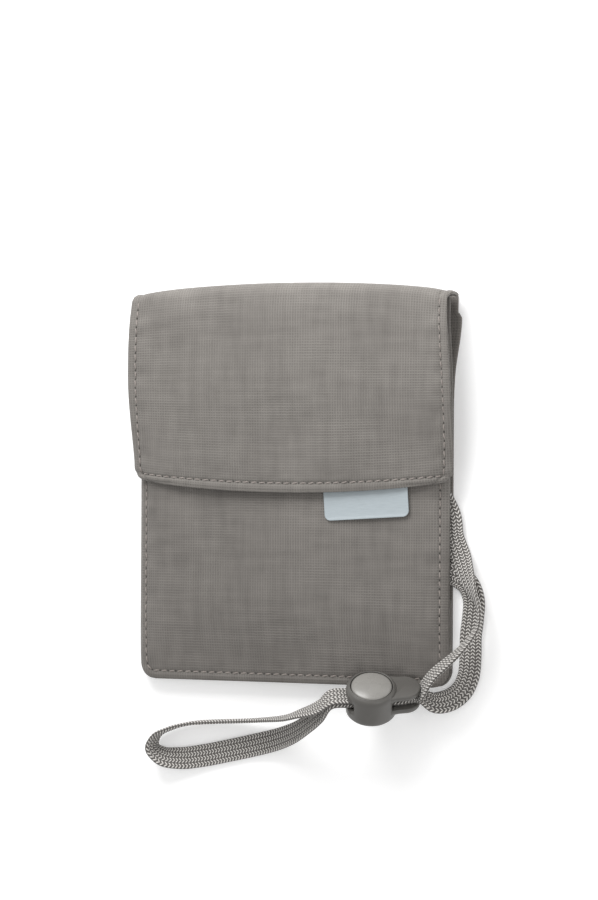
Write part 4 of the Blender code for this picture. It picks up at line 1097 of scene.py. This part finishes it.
def barrel():
    """Turned wall with two slots, closed all round."""
    outer = np.array([
        (9.1, -6.6), (9.7, -6.5), (10.1, -6.0), (10.2, -5.2), (10.2, -3.4), (10.2, -1.6), (10.2, 0.6), (10.2, 2.8),
        (10.2, 3.6), (10.16, 4.3), (10.0, 5.0), (9.7, 5.6), (9.35, 6.0), (9.05, 6.12), (8.9, 6.30), (8.75, 6.42),
        (8.6, 6.40),
    ])
    inner = np.array([
        (8.45, 6.2), (8.45, 5.0), (8.45, 2.8), (8.45, 0.6), (8.45, -1.6), (8.45, -4.2), (8.45, -6.4), (8.6, -6.6),
    ])
    profile = np.concatenate([outer, inner])
    skins = [column_angles(r, 6.75) for r in (10.2, 8.45)]
    cols = len(skins[0])
    angle = np.where((np.arange(len(profile)) < len(outer))[:, None], skins[0], skins[1])
    heights = np.broadcast_to(profile[:, 1:], angle.shape)
    grid = np.stack([profile[:, :1] * np.cos(angle), profile[:, :1] * np.sin(angle), heights], -1)
    rows = len(profile)
    ids = np.arange(rows * cols).reshape(rows, cols)
    low, high = np.roll(ids, -1, 0), np.roll(ids, -1, 1)
    quads = np.stack([ids, high, np.roll(high, -1, 0), low], -1)
    in_slot = np.zeros((rows, cols), bool)
    for start in (0, 48):
        for row in (5, 6, len(outer) + 2, len(outer) + 3):
            in_slot[row, start:start + 18] = True
    faces = quads[~in_slot].tolist()
    o5, o6, o7 = ids[5], ids[6], ids[7]
    n7, n6, n5 = ids[len(outer) + 2], ids[len(outer) + 3], ids[len(outer) + 4]
    for start in (0, 48):
        j = np.arange(start, start + 18)
        k = (j + 1) % cols
        faces += np.stack([o5[j], o5[k], n5[k], n5[j]], -1).tolist()
        faces += np.stack([o7[j], o7[k], n7[k], n7[j]], -1).tolist()
        for c in (start, (start + 18) % cols):
            faces += [[o5[c], o6[c], n6[c], n5[c]], [o6[c], o7[c], n7[c], n6[c]]]
    return lock_to_world(grid.reshape(-1, 3)), faces


def ear_plate(z_low, z_high, edge=0.75):
    """A rounded tab: its outline carried up through four insets that round both edges."""
    end = np.radians(np.linspace(97, 263, 30))
    tip = np.stack([-13.2 + 6.4 * np.cos(end), 6.4 * np.sin(end)], -1)
    neck = np.array([(-4.6, 8.1), (-6.6, 7.5), (-8.6, 6.9), (-10.6, 6.5)])
    inside_arc = np.radians(np.linspace(-119.5, -240.5, 16))
    root = np.stack([9.3 * np.cos(inside_arc), 9.3 * np.sin(inside_arc)], -1)[1:-1]
    outline = np.concatenate([neck, tip, neck[::-1] * (1, -1), root])
    tangent = np.roll(outline, -1, 0) - np.roll(outline, 1, 0)
    normal = np.stack([tangent[:, 1], -tangent[:, 0]], -1) / np.linalg.norm(tangent, axis=1, keepdims=True)
    ox, oy = outline.T
    area = 0.5 * np.sum(ox * np.roll(oy, -1) - oy * np.roll(ox, -1))
    normal = normal if area > 0 else -normal
    near_root = (np.hypot(*outline.T) < 9.45)[:, None]
    a = np.radians(np.linspace(0, 90, 5))
    levels = [(edge * (1 - math.sin(v)), z_low + edge * (1 - math.cos(v))) for v in a]
    levels += [(edge * (1 - math.cos(v)), z_high - edge * (1 - math.sin(v))) for v in a]
    count = len(outline)
    rings = [np.concatenate([outline - normal * inset * ~near_root, np.full((count, 1), z)], -1)
             for inset, z in levels]
    faces = grid_faces(len(rings), count, wrap=True).tolist()
    faces += [list(range(count)), list(range((len(rings) - 1) * count, len(rings) * count))]
    return lock_to_world(np.concatenate(rings)), faces


def turned(profile, cols=72):
    """A solid of revolution whose first and last points lie on the axis: rings between two poles."""
    profile = np.asarray(profile, float)
    ring = profile[1:-1]
    a = np.linspace(0, 2 * np.pi, cols, endpoint=False)
    heights = np.broadcast_to(ring[:, 1:], (len(ring), cols))
    grid = np.stack([ring[:, :1] * np.cos(a), ring[:, :1] * np.sin(a), heights], -1)
    points = np.concatenate([grid.reshape(-1, 3), [(0, 0, profile[0, 1]), (0, 0, profile[-1, 1])]])
    last = len(ring) * cols
    j = np.arange(cols)
    k = (j + 1) % cols
    faces = grid_faces(len(ring), cols, wrap=True).tolist()
    faces += np.stack([j, k, np.full(cols, last)], -1).tolist()
    faces += np.stack([j + last - cols, k + last - cols, np.full(cols, last + 1)], -1).tolist()
    return lock_to_world(points), faces


# %% Make the lock
lock_wall = piece("lock_wall", *barrel(), shell_plastic, "lock", "lock_shell", ("lock_barrel",))
ear_top = piece("lock_ear_top", *ear_plate(2.8, 5.1), shell_plastic, "lock", "lock_shell")
ear_low = piece("lock_ear_low", *ear_plate(-3.9, -1.6), shell_plastic, "lock", "lock_shell")
BUTTON_PROFILE = [
    (0, 5.1), (6, 5.1), (7.9, 5.12), (8.1, 5.3), (8.15, 5.7), (8.1, 6.05), (7.9, 6.3), (7.5, 6.5),
    (6.8, 6.72), (5.8, 6.98), (4.6, 7.2), (3.3, 7.37), (2.0, 7.47), (0.9, 7.52), (0, 7.54),
]
button = piece("button_dome", *turned(BUTTON_PROFILE), push_plastic, "button", "lock_push", ("lock_button",))
for node_name, mat in (("lock_base", shell_plastic), ("lock_spring", spring_metal)):
    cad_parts[node_name].data.materials.clear()
    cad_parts[node_name].data.materials.append(mat)
print("lock wall:", len(lock_wall.data.polygons), "faces")

# %% [markdown]
# ## Floor and light
# A pale floor that glows a little, like a light table, under a soft light above
# the folded edge, a weaker one from the right, and an even white surround. The
# light falls off down the pouch, so the fold is the brightest.

# %% Floor
floor_mat, floor_tree, floor_shader = new_material("pale floor", 0.9)
floor_where = floor_tree.nodes.new("ShaderNodeTexCoord").outputs["Object"]
floor_tone = ramp(floor_tree, noise(floor_tree, floor_where, 3.0), (0.90, 0.90, 0.90), (0.92, 0.92, 0.92))
floor_tree.links.new(floor_tone, floor_shader.inputs["Base Color"])
floor_shader.inputs["Emission Color"].default_value = (1, 1, 1, 1)
floor_shader.inputs["Emission Strength"].default_value = 0.25
floor_mesh = bpy.data.meshes.new("floor")
FLOOR_REACH, FLOOR_Z = 4.0, -0.0002
floor_corners = [(FLOOR_REACH * a, FLOOR_REACH * b, FLOOR_Z) for a, b in ((-1, -1), (1, -1), (1, 1), (-1, 1))]
floor_mesh.from_pydata(floor_corners, [], [(0, 1, 2, 3)])
floor_mesh.materials.append(floor_mat)
floor = bpy.data.objects.new("floor", floor_mesh)
bpy.context.collection.objects.link(floor)
floor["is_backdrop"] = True


# %% Lights
def soft_light(name, at, aim, size, power):
    """A square area light at a point, turned to face aim."""
    light = bpy.data.lights.new(name, "AREA")
    light.size, light.energy = size, power
    obj = bpy.data.objects.new(name, light)
    obj.location = at
    obj.rotation_euler = (Vector(aim) - Vector(at)).to_track_quat("-Z", "Y").to_euler()
    bpy.context.collection.objects.link(obj)
    return obj


soft_light("key", (-0.08, 0.38, 0.28), (0, 0.03, 0), 0.28, 2.3)
soft_light("side", (0.8, -0.1, 0.7), (0, 0, 0), 0.5, 0.9)
world = bpy.data.worlds.new("surround")
world.use_nodes = True
world.node_tree.nodes["Background"].inputs["Color"].default_value = (1, 1, 1, 1)
world.node_tree.nodes["Background"].inputs["Strength"].default_value = 0.70
bpy.context.scene.world = world
bpy.context.scene.view_settings.view_transform = "Standard"

# %% Compare the sizes and finish
new_box = [[float(v) for v in corner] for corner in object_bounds()]
grown = [round((abs(b - a)) / MM, 2) for p, q in zip(cad_box, new_box) for a, b in zip(p, q)]
print("growth of the six sides, mm:", grown)
